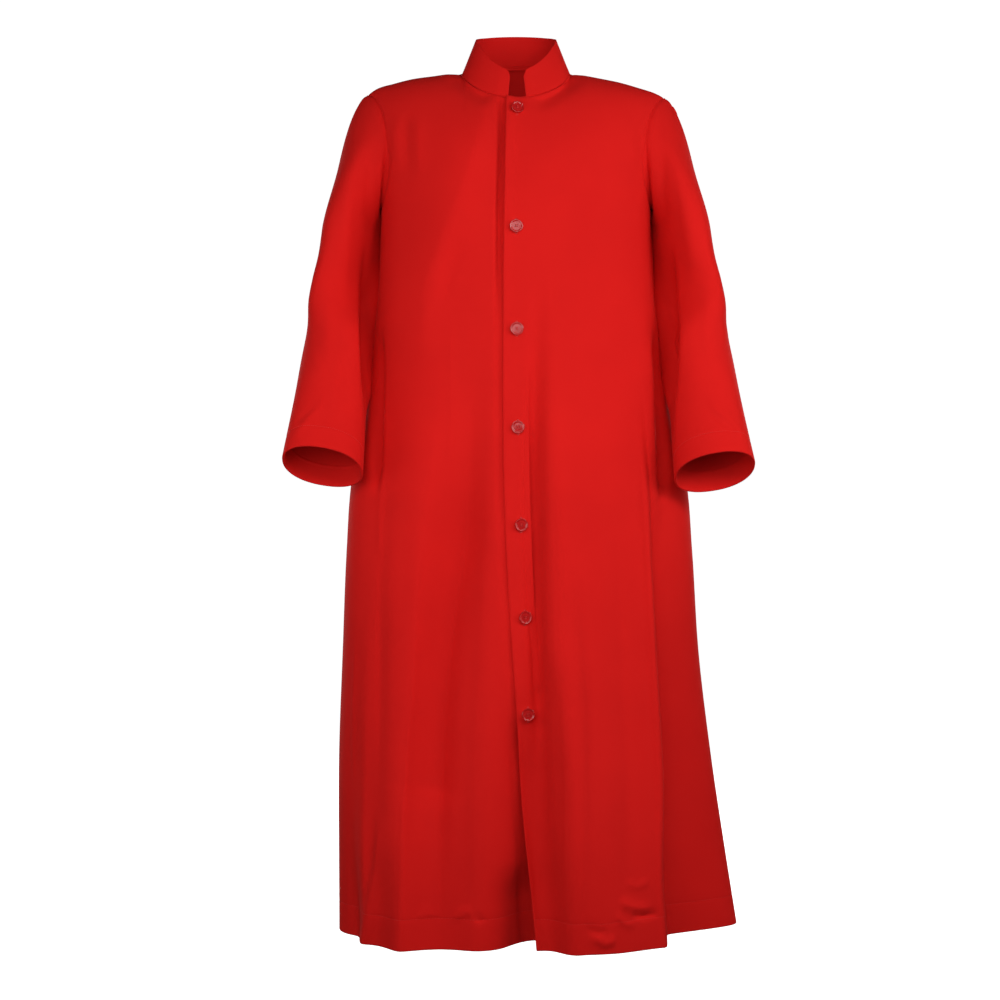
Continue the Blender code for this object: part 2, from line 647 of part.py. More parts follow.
def main():
    """Build every piece."""
    for old in list(bpy.data.objects):
        bpy.data.objects.remove(old)
    collection = bpy.data.collections.new(NAME)
    bpy.context.scene.collection.children.link(collection)
    fabric = plain_material("twill", RED, 0.85)
    gloss = plain_material("button_plastic", BUTTON_RED, 0.25)

    right = sink_under_lap(front_grid(-1))
    left = front_grid(1)
    back = back_grid()
    right_armhole = armhole(right, -1, back, 0)
    left_armhole = armhole(left, -1, back, -1)
    sew_body(right, left, back)
    cloth("right_front", right, collection, fabric, flip=True)
    cloth("left_front", left, collection, fabric)
    cloth("back", back, collection, fabric, flip=True)
    cloth("sleeve_right", sleeve_grid(-1, *right_armhole), collection, fabric, ring=True, flip=True)
    cloth("sleeve_left", sleeve_grid(1, *left_armhole), collection, fabric, ring=True)
    cloth("collar", collar_grid(neck_seam(right, left, back)), collection, fabric, flip=True)

    mesh = button_mesh(gloss)
    for number, place in enumerate(BUTTONS, start=1):
        point, outward = front_surface(place.x, place.z)
        button = bpy.data.objects.new(f"button_{number}", mesh.copy())
        button.location = point + outward * BUTTON_SEAT
        button.rotation_euler = (math.asin(-outward[2]), 0.0, math.atan2(outward[0], -outward[1]))
        collection.objects.link(button)


main()
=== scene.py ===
"""Looks of the cassock: cloth, sewing, buttons and a plain studio.

Every cloth piece is a thin shell on the form of the solid that it stands for, worked out from the same named
sizes, and drawn finer, with its creases laid in. Metres, +Z up, front towards -Y.
"""

import logging
import math
from dataclasses import dataclass, field
from enum import Enum
from typing import Any, NamedTuple, Sequence

import bpy
import numpy as np
from mathutils import Matrix, Vector

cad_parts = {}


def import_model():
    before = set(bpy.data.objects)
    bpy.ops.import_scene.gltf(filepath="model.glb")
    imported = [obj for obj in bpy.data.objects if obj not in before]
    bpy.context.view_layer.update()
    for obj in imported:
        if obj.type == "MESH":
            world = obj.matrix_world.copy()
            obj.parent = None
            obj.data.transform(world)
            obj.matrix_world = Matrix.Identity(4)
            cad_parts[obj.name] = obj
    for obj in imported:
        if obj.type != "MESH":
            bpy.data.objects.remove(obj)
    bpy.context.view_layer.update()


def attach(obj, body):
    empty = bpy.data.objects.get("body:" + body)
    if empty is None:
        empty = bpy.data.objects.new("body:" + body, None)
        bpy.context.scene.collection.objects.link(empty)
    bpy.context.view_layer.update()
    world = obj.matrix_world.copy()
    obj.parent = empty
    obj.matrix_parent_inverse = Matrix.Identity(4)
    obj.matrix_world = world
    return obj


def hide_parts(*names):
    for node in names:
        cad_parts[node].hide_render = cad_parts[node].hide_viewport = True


LOG = logging.getLogger("cassock")
MM = 0.001
CREASE_TAPER = 0.3     # share of a crease's length over which each end dies out


class Side(Enum):
    """A side of the garment, as its wearer has it."""

    RIGHT = -1
    LEFT = 1


class Face(Enum):
    """The front or the back of the body."""

    FRONT = "front"
    BACK = "back"


class Section(NamedTuple):
    """Plan of the body at one height: half widths, depths, side seams' places and the superellipse's exponent."""

    z: float
    right: float
    left: float
    front: float
    back: float
    right_seam_y: float
    left_seam_y: float
    square: float


class Shoulder(NamedTuple):
    """Height of each shoulder seam at one distance from the middle."""

    x: float
    right_z: float
    left_z: float


class Lap(NamedTuple):
    """Place of the left front's free edge at one height."""

    z: float
    edge_x: float


class Fold(NamedTuple):
    """A fold down the body: where it starts and ends, its line, its depth (+ out, - in) and its width."""

    face: Face
    top_z: float
    low_z: float
    top_x: float
    mid_x: float
    low_x: float
    mid_depth: float
    low_depth: float
    top_width: float
    low_width: float
    peak: float


class Pleat(NamedTuple):
    """The left side pleat at one height: its edge, and how far the cloth beyond it falls back."""

    z: float
    edge_x: float
    recess: float


class Arm(NamedTuple):
    """Section of the right sleeve: centre, half width, half depth, tilt in degrees, turn-in and cant."""

    z: float
    x: float
    y: float
    half_x: float
    half_y: float
    tilt: float
    toe: float
    cant: float


class Lamp(NamedTuple):
    """A square soft light: its name, where it hangs, what it points at, its width and its power in watts."""

    name: str
    place: tuple[float, float, float]
    aim: tuple[float, float, float]
    size: float
    power: float


class Crease(NamedTuple):
    """A soft crease, in millimetres: its line in x and z, its height (+ ridge, - trough), its width to each side."""

    path: tuple[tuple[float, float], ...]
    height: float
    before: float
    after: float


def cubic(t: Any, start: Any, leave: Any, end: Any, arrive: Any) -> Any:
    """Soft curve from start to end as t runs from 0 to 1, with its slopes at both ends."""
    return ((2 * t**3 - 3 * t**2 + 1) * start + (t**3 - 2 * t**2 + t) * leave
            + (3 * t**2 - 2 * t**3) * end + (t**3 - t**2) * arrive)


def along(table: Sequence[Any], key: str, column: str, at: Any) -> np.ndarray:
    """Read one column of a table smoothly.

    Args:
        table: rows with named columns.
        key: the column that `at` is a value of.
        column: the column to read.
        at: one or more places.

    Returns:
        The column's values at those places.
    """
    rows = sorted(table, key=lambda row: getattr(row, key))
    keys = np.array([getattr(row, key) for row in rows])
    values = np.array([getattr(row, column) for row in rows])
    slopes = np.gradient(values, keys)
    at = np.clip(np.asarray(at, dtype=float), keys[0], keys[-1])
    i = np.clip(np.searchsorted(keys, at) - 1, 0, len(keys) - 2)
    step = keys[i + 1] - keys[i]
    t = (at - keys[i]) / step
    return cubic(t, values[i], step * slopes[i], values[i + 1], step * slopes[i + 1])


def ease(value: Any) -> Any:
    """Smooth step from 0 to 1."""
    t = np.clip(value, 0.0, 1.0)
    return t * t * (3.0 - 2.0 * t)


def signed_power(value: np.ndarray, power: Any) -> np.ndarray:
    """Power of the magnitude, with the sign kept."""
    return np.sign(value) * np.abs(value) ** power


def unit(vectors: np.ndarray) -> np.ndarray:
    """The same vectors, one long."""
    return vectors / (np.linalg.norm(vectors, axis=-1, keepdims=True) + 1e-12)


def path_length(points: np.ndarray) -> np.ndarray:
    """Length of a path up to each of its points."""
    return np.concatenate([[0.0], np.cumsum(np.linalg.norm(np.diff(points, axis=0), axis=1))])


def at_lengths(points: np.ndarray, wanted: np.ndarray) -> np.ndarray:
    """Points of a path at the wanted lengths along it."""
    length = path_length(points)
    return np.stack([np.interp(wanted, length, points[:, axis]) for axis in range(3)], axis=-1)


def graded(cells: int, close_start: bool = False, close_end: bool = False) -> np.ndarray:
    """Shares of a length, from 0 to 1, closer together at the ends that meet a seam.

    Args:
        cells: how many cells there are.
        close_start: whether the first cells are small.
        close_end: whether the last cells are small.

    Returns:
        cells + 1 shares.
    """
    weights = np.ones(cells)
    small = np.array([0.2, 0.3, 0.4, 0.6, 0.8])
    if close_start:
        weights[:len(small)] = small
    if close_end:
        weights[-len(small):] = small[::-1]
    shares = np.concatenate([[0.0], np.cumsum(weights)])
    return shares / shares[-1]


def smooth_path(path: Sequence[tuple[float, float]], count: int = 28) -> np.ndarray:
    """Points at even steps on a soft curve through a crease's few points."""
    places = np.array(path, dtype=float)
    knots = np.linspace(0.0, 1.0, len(places))
    slopes = np.gradient(places, knots, axis=0)
    t = np.linspace(0.0, 1.0, count)
    i = np.clip(np.searchsorted(knots, t) - 1, 0, len(knots) - 2)
    step = (knots[i + 1] - knots[i])[:, None]
    s = ((t - knots[i])[:, None]) / step
    return cubic(s, places[i], step * slopes[i], places[i + 1], step * slopes[i + 1])


def crease_height(creases: Sequence[Crease], x: np.ndarray, z: np.ndarray) -> np.ndarray:
    """How far a piece's creases lift its cloth.

    Args:
        creases: the piece's creases.
        x: across, for each point of the cloth.
        z: up, for each point of the cloth.

    Returns:
        The lift along the cloth's outward direction.
    """
    lift = np.zeros_like(x)
    for crease in creases:
        line = smooth_path(crease.path) * MM
        reach = 3.0 * max(crease.before, crease.after) * MM
        near = ((x > line[:, 0].min() - reach) & (x < line[:, 0].max() + reach)
                & (z > line[:, 1].min() - reach) & (z < line[:, 1].max() + reach))
        if not near.any():
            continue
        place = np.stack([x[near], z[near]], axis=-1)
        start, step = line[:-1], np.diff(line, axis=0)
        share = ((place[:, None] - start) * step).sum(-1) / (step**2).sum(-1)
        share = np.clip(share, 0.0, 1.0)
        away = place[:, None] - (start + share[..., None] * step)
        distance = np.linalg.norm(away, axis=-1)
        nearest = distance.argmin(axis=1)
        rows = np.arange(len(place))
        beside = np.cross(step[nearest], away[rows, nearest])
        width = np.where(beside > 0, crease.before, crease.after) * MM
        done = (nearest + share[rows, nearest]) / len(step)
        taper = ease(done / CREASE_TAPER) * ease((1.0 - done) / CREASE_TAPER)
        lift[near] += crease.height * MM * taper * np.exp(-(distance[rows, nearest] / width) ** 2)
    return lift


def slack(x: np.ndarray, z: np.ndarray, phase: float) -> np.ndarray:
    """Slight unevenness of cloth that hangs free, from -1 to 1."""
    return (
        0.45 * np.sin(x / 0.031 + 2.3 * np.sin(z / 0.21 + phase) + phase)
        + 0.35 * np.sin(z / 0.083 + 1.7 * np.sin(x / 0.052 + 2 * phase))
        + 0.20 * np.sin((x + 0.6 * z) / 0.027 + 3 * phase)
    )


def node(tree: bpy.types.NodeTree, kind: str, settings: dict[str, Any] | None = None,
         links: dict[Any, Any] | None = None) -> bpy.types.Node:
    """Add one node to a tree.

    Args:
        tree: the tree.
        kind: the node's type name.
        settings: its properties by name, and its input values by number or name.
        links: for each input, the output socket that feeds it.

    Returns:
        The new node.
    """
    made = tree.nodes.new(kind)
    for name, value in (settings or {}).items():
        if isinstance(name, int) or name in made.inputs:
            made.inputs[name].default_value = value
        else:
            setattr(made, name, value)
    for name, source in (links or {}).items():
        tree.links.new(source, made.inputs[name])
    return made


def linear(hex_colour: str) -> tuple[float, float, float, float]:
    """An sRGB hex colour as the linear colour that a shader takes."""
    parts = [int(hex_colour[i:i + 2], 16) / 255 for i in (1, 3, 5)]
    return tuple(c / 12.92 if c <= 0.04045 else ((c + 0.055) / 1.055) ** 2.4 for c in parts) + (1.0,)


def new_material(name: str) -> tuple[bpy.types.Material, bpy.types.NodeTree, bpy.types.Node]:
    """A material, its tree and its Principled shader."""
    material = bpy.data.materials.new(name)
    material.use_nodes = True
    tree = material.node_tree
    return material, tree, tree.nodes["Principled BSDF"]


@dataclass(frozen=True)
class Twill:
    """Piece-dyed polyester and cotton twill: matt, with a fine diagonal rib that softens every highlight."""

    light: str = "#DC1612"
    deep: str = "#CF110E"
    rib: float = 1.1 * MM        # twice the real rib, so that it shows close up
    thread: float = 0.55 * MM
    cloud: float = 0.30          # width of the dye's slight clouds
    roughness: float = 0.86
    sheen: float = 0.04

    def material(self) -> bpy.types.Material:
        """Build the material; it reads the cloth's own UV map, in metres along and across the grain."""
        material, tree, shader = new_material("polyester_cotton_twill")
        grain = node(tree, "ShaderNodeTexCoord").outputs["UV"]
        turned = node(tree, "ShaderNodeMapping", {"Rotation": (0.0, 0.0, math.radians(27.0))}, {0: grain})
        ribs = node(tree, "ShaderNodeTexWave", {
            "wave_type": "BANDS", "bands_direction": "X", "wave_profile": "SIN",
            "Scale": 0.31 / self.rib, "Distortion": 0.6, "Detail": 1.0, "Detail Scale": 2.0,
        }, {"Vector": turned.outputs[0]})
        threads = node(tree, "ShaderNodeTexNoise", {
            "Scale": 1.0 / self.thread, "Detail": 2.0, "Roughness": 0.6,
        }, {"Vector": grain})
        clouds = node(tree, "ShaderNodeTexNoise", {
            "Scale": 1.0 / self.cloud, "Detail": 3.0, "Roughness": 0.55,
        }, {"Vector": grain})
        weave = node(tree, "ShaderNodeMath", {"operation": "MULTIPLY_ADD", 1: 0.5},
                     {0: threads.outputs["Fac"], 2: ribs.outputs["Fac"]})
        tone = node(tree, "ShaderNodeMath", {"operation": "MULTIPLY_ADD", 1: 0.12},
                    {0: weave.outputs[0], 2: clouds.outputs["Fac"]})
        share = node(tree, "ShaderNodeMapRange", {"From Min": 0.35, "From Max": 0.78}, {"Value": tone.outputs[0]})
        colour = node(tree, "ShaderNodeMix", {"data_type": "RGBA", 6: linear(self.deep), 7: linear(self.light)},
                      {"Factor": share.outputs[0]})
        bump = node(tree, "ShaderNodeBump", {"Strength": 0.22, "Distance": 0.12 * MM},
                    {"Height": weave.outputs[0]})
        tree.links.new(colour.outputs[2], shader.inputs["Base Color"])
        tree.links.new(bump.outputs[0], shader.inputs["Normal"])
        shader.inputs["Roughness"].default_value = self.roughness
        shader.inputs["Specular IOR Level"].default_value = 0.15
        shader.inputs["Sheen Weight"].default_value = self.sheen
        shader.inputs["Sheen Roughness"].default_value = 0.45
        shader.inputs["Sheen Tint"].default_value = linear("#FF6A55")
        return material


@dataclass(frozen=True)
class Thread:
    """Spun polyester sewing thread: a little glossier than the cloth, so that each stitch catches light."""

    colour: str = "#D21714"
    roughness: float = 0.6
    ply: float = 0.5 * MM

    def material(self) -> bpy.types.Material:
        """Build the material; its twist shows as fine bands."""
        material, tree, shader = new_material("spun_polyester_thread")
        place = node(tree, "ShaderNodeTexCoord").outputs["Object"]
        twist = node(tree, "ShaderNodeTexWave", {
            "bands_direction": "DIAGONAL", "Scale": 0.31 / self.ply, "Distortion": 0.4,
        }, {"Vector": place})
        bump = node(tree, "ShaderNodeBump", {"Strength": 0.3, "Distance": 0.05 * MM},
                    {"Height": twist.outputs["Fac"]})
        tree.links.new(bump.outputs[0], shader.inputs["Normal"])
        shader.inputs["Base Color"].default_value = linear(self.colour)
        shader.inputs["Roughness"].default_value = self.roughness
        shader.inputs["Sheen Weight"].default_value = 0.1
        return material


@dataclass(frozen=True)
class ButtonPlastic:
    """Cast polyester resin, dyed and tumbled: a smooth gloss with sharp small highlights."""

    colour: str = "#C41A1A"
    shade: str = "#A81012"
    roughness: float = 0.16

    def material(self) -> bpy.types.Material:
        """Build the material, with the faint clouds that dye leaves in resin."""
        material, tree, shader = new_material("cast_polyester_resin")
        place = node(tree, "ShaderNodeTexCoord").outputs["Object"]
        clouds = node(tree, "ShaderNodeTexNoise", {"Scale": 180.0, "Detail": 2.0}, {"Vector": place})
        colour = node(tree, "ShaderNodeMix", {"data_type": "RGBA", 6: linear(self.shade), 7: linear(self.colour)},
                      {"Factor": clouds.outputs["Fac"]})
        scuffs = node(tree, "ShaderNodeTexNoise", {"Scale": 900.0, "Detail": 3.0}, {"Vector": place})
        polish = node(tree, "ShaderNodeMapRange", {
            "To Min": self.roughness - 0.04, "To Max": self.roughness + 0.08,
        }, {"Value": scuffs.outputs["Fac"]})
        tree.links.new(colour.outputs[2], shader.inputs["Base Color"])
        tree.links.new(polish.outputs[0], shader.inputs["Roughness"])
        shader.inputs["IOR"].default_value = 1.52
        shader.inputs["Coat Weight"].default_value = 0.35
        shader.inputs["Coat Roughness"].default_value = 0.08
        return material


@dataclass(frozen=True)
class PaleBoard:
    """Matt white studio board, which glows a little so that the ground stays pale."""

    colour: str = "#FFFFFF"
    glow: float = 1.0

    def material(self) -> bpy.types.Material:
        """Build the material."""
        material, tree, shader = new_material("white_studio_board")
        shader.inputs["Base Color"].default_value = linear(self.colour)
        shader.inputs["Roughness"].default_value = 0.9
        shader.inputs["Specular IOR Level"].default_value = 0.0
        shader.inputs["Emission Color"].default_value = linear(self.colour)
        shader.inputs["Emission Strength"].default_value = self.glow
        return material


@dataclass
class Sheet:
    """A piece of cloth, as rows and columns of points on its outer face."""

    name: str
    grid: np.ndarray
    ring: bool = False
    flip: bool = False

    def normals(self) -> np.ndarray:
        """Outward direction at each point."""
        if self.ring:
            across = np.roll(self.grid, -1, axis=1) - np.roll(self.grid, 1, axis=1)
        else:
            across = np.gradient(self.grid, axis=1)
        up = np.gradient(self.grid, axis=0)
        outward = unit(np.cross(across, up))
        return -outward if self.flip else outward

    def move(self, lift: np.ndarray) -> None:
        """Move each point outwards by its lift."""
        self.grid = self.grid + self.normals() * lift[..., None]

    def across(self) -> np.ndarray:
        """Distance of each point from the first column, along its row."""
        steps = np.linalg.norm(np.diff(self.grid, axis=1), axis=-1)
        return np.concatenate([np.zeros((len(self.grid), 1)), np.cumsum(steps, axis=1)], axis=1)

    def up(self) -> np.ndarray:
        """Distance of each point from the first row, along its column."""
        steps = np.linalg.norm(np.diff(self.grid, axis=0), axis=-1)
        return np.concatenate([np.zeros((1, self.grid.shape[1])), np.cumsum(steps, axis=0)], axis=0)

    def side_distance(self, first: bool) -> np.ndarray:
        """Distance of each point from its row's first or last column."""
        across = self.across()
        return across if first else across[:, -1:] - across

    def top_distance(self) -> np.ndarray:
        """Distance of each point from the last row."""
        up = self.up()
        return up[-1:] - up

    def refine(self, depth: float) -> None:
        """Draw the rows next to the first one finer, most of all at its edge and along its line of stitches.

        Args:
            depth: distance of the stitches from the first row.
        """
        near = np.array([0.0, 0.8, 2.0, 4.0, 7.0]) * MM
        beside = depth + np.array([-5.0, -2.6, -1.3, 0.0, 1.3, 2.6, 5.0, 9.0]) * MM
        between = np.linspace(near[-1], beside[0], max(2, round((beside[0] - near[-1]) / (4.5 * MM))) + 1)[1:-1]
        wanted = np.concatenate([near, between, beside])
        beyond = int(np.argmax(self.up().min(axis=1) > wanted[-1] + 2.0 * MM))
        columns = [at_lengths(self.grid[:, c], wanted) for c in range(self.grid.shape[1])]
        self.grid = np.concatenate([np.stack(columns, axis=1), self.grid[beyond:]])

    def line_at(self, depth: float) -> tuple[np.ndarray, np.ndarray]:
        """A line along the cloth at one distance from the first row, and the outward direction there."""
        row = int(np.argmin(np.abs(np.median(self.up(), axis=1) - depth)))
        return self.grid[row], self.normals()[row]

    def turn_up(self, depth: float, wall: float, gap: float, margin: float) -> None:
        """Fold the cloth below the first row up inside, as a hem is.

        Args:
            depth: how far up the fold reaches.
            wall: the cloth's thickness.
            gap: space between the two layers.
            margin: how far the inner layer stops short of the sheet's two sides.
        """
        last = int(np.argmin(np.abs(np.median(self.up(), axis=1) - depth))) + 2
        outward, away = self.normals(), unit(np.gradient(self.grid, axis=0))
        radius = wall + gap / 2
        inside = self.grid[:last + 1] - 2 * radius * outward[:last + 1]
        if not self.ring:
            for r, line in enumerate(inside):
                length = path_length(line)
                inside[r] = at_lengths(line, margin + length * (1 - 2 * margin / length[-1]))
        fold = [self.grid[0] - radius * ((1 - math.cos(angle)) * outward[0] + math.sin(angle) * away[0])
                for angle in (2.5, 1.9, 1.2, 0.6)]
        self.grid = np.concatenate([inside[::-1], np.array(fold), self.grid])

    def build(self, material: bpy.types.Material, wall: float, edge: float) -> bpy.types.Object:
        """Make the cloth a closed shell with soft edges.

        Args:
            material: its cloth.
            wall: thickness, inwards from the outer face.
            edge: radius of the rounded edges.

        Returns:
            The finished object, with its place in its mesh.
        """
        rows, columns = self.grid.shape[:2]
        last = columns if self.ring else columns - 1
        row, column = np.meshgrid(np.arange(rows - 1), np.arange(last), indexing="ij")
        following = (column + 1) % columns
        faces = np.stack([row * columns + column, row * columns + following,
                          (row + 1) * columns + following, (row + 1) * columns + column], axis=-1)
        if self.flip:
            faces = faces[..., ::-1]
        faces = faces.reshape(-1, 4)
        mesh = bpy.data.meshes.new(self.name)
        mesh.from_pydata(self.grid.reshape(-1, 3).tolist(), [], faces.tolist())
        self.write_grain(mesh, faces, rows, columns)
        mesh.materials.append(material)
        piece = bpy.data.objects.new(self.name, mesh)
        bpy.context.scene.collection.objects.link(piece)
        shell = piece.modifiers.new("wall", "SOLIDIFY")
        shell.thickness = wall
        shell.offset = -1.0
        round_off = piece.modifiers.new("soft_edge", "BEVEL")
        round_off.limit_method = "ANGLE"
        round_off.angle_limit = math.radians(60)
        round_off.width = edge
        round_off.segments = 2
        apply_modifiers(piece)
        piece.data.shade_smooth()
        return piece

    def write_grain(self, mesh: bpy.types.Mesh, faces: np.ndarray, rows: int, columns: int) -> None:
        """Write the UV map: metres across and along the grain."""
        u, v = self.across(), self.up()
        if self.ring:
            closing = np.linalg.norm(self.grid[:, 0] - self.grid[:, -1], axis=-1)
            girth = u[:, -1] + closing
        place = faces.reshape(-1)
        r, c = place // columns, place % columns
        across = u[r, c]
        if self.ring:
            cell = np.arange(len(place)) // 4
            closes = (faces.max(axis=1) % columns == columns - 1) & (faces.min(axis=1) % columns == 0)
            across = np.where(closes[cell] & (c == 0), girth[r], across)
        grain = mesh.uv_layers.new(name="grain")
        grain.data.foreach_set("uv", np.stack([across, v[r, c]], axis=-1).astype(np.float32).ravel())


def select_only(piece: bpy.types.Object) -> None:
    """Make one object the only selected one, and active."""
    bpy.ops.object.select_all(action="DESELECT")
    piece.select_set(True)
    bpy.context.view_layer.objects.active = piece


def apply_modifiers(piece: bpy.types.Object) -> None:
    """Apply all of an object's modifiers, in order."""
    select_only(piece)
    for modifier in list(piece.modifiers):
        bpy.ops.object.modifier_apply(modifier=modifier.name)


BODY = (
    Section(-1.362, 0.2820, 0.3570, 0.167, 0.175, -0.006, 0.034, 2.3),
    Section(-1.240, 0.2825, 0.3370, 0.164, 0.168, -0.004, 0.028, 2.4),
    Section(-1.080, 0.2820, 0.3125, 0.159, 0.160, -0.002, 0.020, 2.5),
    Section(-0.920, 0.2765, 0.2925, 0.153, 0.152, 0.0, 0.012, 2.5),
    Section(-0.760, 0.2705, 0.2815, 0.148, 0.146, 0.0, 0.004, 2.5),
    Section(-0.650, 0.2625, 0.2715, 0.144, 0.141, 0.0, 0.0, 2.4),
    Section(-0.570, 0.2480, 0.2530, 0.141, 0.138, 0.0, 0.0, 2.35),
    Section(-0.500, 0.2350, 0.2380, 0.138, 0.134, 0.0, 0.0, 2.3),
    Section(-0.430, 0.2275, 0.2290, 0.134, 0.130, 0.0, 0.0, 2.25),
    Section(-0.380, 0.2210, 0.2230, 0.132, 0.128, 0.0, 0.0, 2.25),
    Section(-0.340, 0.2170, 0.2185, 0.130, 0.127, 0.0, 0.0, 2.25),
    Section(-0.280, 0.2150, 0.2150, 0.126, 0.124, 0.0, 0.0, 2.25),
    Section(-0.220, 0.2150, 0.2150, 0.123, 0.122, 0.0, 0.0, 2.25),
)
SHOULDER = (
    Shoulder(0.086, 0.000, 0.000),
    Shoulder(0.110, -0.0005, -0.003),
    Shoulder(0.131, -0.0035, -0.007),
    Shoulder(0.166, -0.0085, -0.014),
    Shoulder(0.195, -0.0155, -0.022),
    Shoulder(0.224, -0.0240, -0.031),
    Shoulder(0.238, -0.0330, -0.0375),
)
LAP = (
    Lap(-1.362, 0.0300),
    Lap(-1.290, 0.0230),
    Lap(-1.150, 0.0080),
    Lap(-1.000, -0.0010),
    Lap(-0.850, -0.0120),
    Lap(-0.680, -0.0195),
    Lap(-0.350, -0.0210),
    Lap(-0.050, -0.0165),
)
FOLDS = (
    Fold(Face.FRONT, -0.15, -0.50, -0.065, -0.110, -0.150, 0.0040, 0.0000, 0.030, 0.030, 2.0),
    Fold(Face.FRONT, -0.36, -1.362, -0.092, -0.152, -0.170, 0.0120, 0.0255, 0.040, 0.030, 1.6),
    Fold(Face.FRONT, -0.36, -1.362, -0.048, -0.064, -0.093, -0.0060, -0.0060, 0.024, 0.024, 2.0),
    Fold(Face.FRONT, -0.50, -1.362, -0.200, -0.212, -0.205, -0.0110, 0.0000, 0.020, 0.016, 2.0),
    Fold(Face.FRONT, -0.80, -1.362, -0.226, -0.231, -0.235, 0.0040, 0.0090, 0.014, 0.014, 1.5),
    Fold(Face.FRONT, -0.85, -1.362, -0.255, -0.260, -0.263, -0.0040, -0.0150, 0.018, 0.016, 2.0),
    Fold(Face.FRONT, -0.36, -1.362, 0.026, 0.036, 0.052, -0.0060, -0.0030, 0.020, 0.016, 2.0),
    Fold(Face.FRONT, -0.55, -1.362, 0.066, 0.084, 0.086, 0.0050, 0.0060, 0.012, 0.012, 1.4),
    Fold(Face.FRONT, -0.55, -1.362, 0.110, 0.130, 0.140, 0.0060, 0.0190, 0.060, 0.058, 2.0),
    Fold(Face.BACK, -0.40, -1.362, 0.040, 0.055, 0.068, 0.0080, 0.0180, 0.040, 0.030, 1.7),
    Fold(Face.BACK, -0.45, -1.362, -0.060, -0.072, -0.084, 0.0080, 0.0160, 0.040, 0.030, 1.7),
    Fold(Face.BACK, -0.55, -1.362, -0.005, -0.008, -0.010, -0.0060, -0.0120, 0.035, 0.030, 2.0),
    Fold(Face.BACK, -0.60, -1.362, 0.165, 0.200, 0.232, 0.0090, 0.0180, 0.035, 0.030, 1.7),
    Fold(Face.BACK, -0.60, -1.362, -0.155, -0.180, -0.196, 0.0090, 0.0160, 0.035, 0.030, 1.7),
)
PLEAT = (
    Pleat(-1.362, 0.2340, 0.58),
    Pleat(-1.290, 0.2270, 0.55),
    Pleat(-1.120, 0.2240, 0.44),
    Pleat(-0.920, 0.2135, 0.30),
    Pleat(-0.770, 0.2055, 0.18),
    Pleat(-0.620, 0.1950, 0.07),
    Pleat(-0.500, 0.1880, 0.00),
)
ARM = (
    Arm(-0.628, -0.2975, -0.125, 0.0620, 0.050, 36.0, 0.000, 0.009),
    Arm(-0.530, -0.2890, -0.082, 0.0565, 0.057, 28.0, 0.000, 0.003),
    Arm(-0.430, -0.2795, -0.034, 0.0530, 0.067, 16.0, 0.001, 0.000),
    Arm(-0.380, -0.2745, -0.016, 0.0430, 0.071, 10.0, 0.027, 0.000),
    Arm(-0.340, -0.2685, -0.006, 0.0390, 0.073, 6.0, 0.032, 0.000),
    Arm(-0.300, -0.2650, -0.002, 0.0385, 0.075, 3.0, 0.025, 0.000),
    Arm(-0.250, -0.2625, 0.000, 0.0400, 0.077, 0.0, 0.016, 0.000),
)
BUTTON_PLACES = (
    (0.0008, -0.0725), (-0.0010, -0.260), (0.0000, -0.418), (0.0018, -0.569),
    (0.0063, -0.718), (0.0123, -0.859), (0.0170, -1.006),
)

# how each button leans, in degrees: to the wearer's left, and up
BUTTON_LEANS = ((6, -5), (4, 1), (4, -1), (-4, 0), (-5, -2), (-3, -2), (-5, 2))

# rows of the seam allowances inside the armhole and the collar, in millimetres: how far inside, and how far back
SLEEVE_ALLOWANCE = ((3.6, 7.0), (3.6, 4.0), (3.2, 1.4), (2.2, -0.1))
# how far down, and how far in
COLLAR_ALLOWANCE = ((6.0, 3.2), (3.6, 3.0), (1.6, 2.4), (0.5, 1.2))

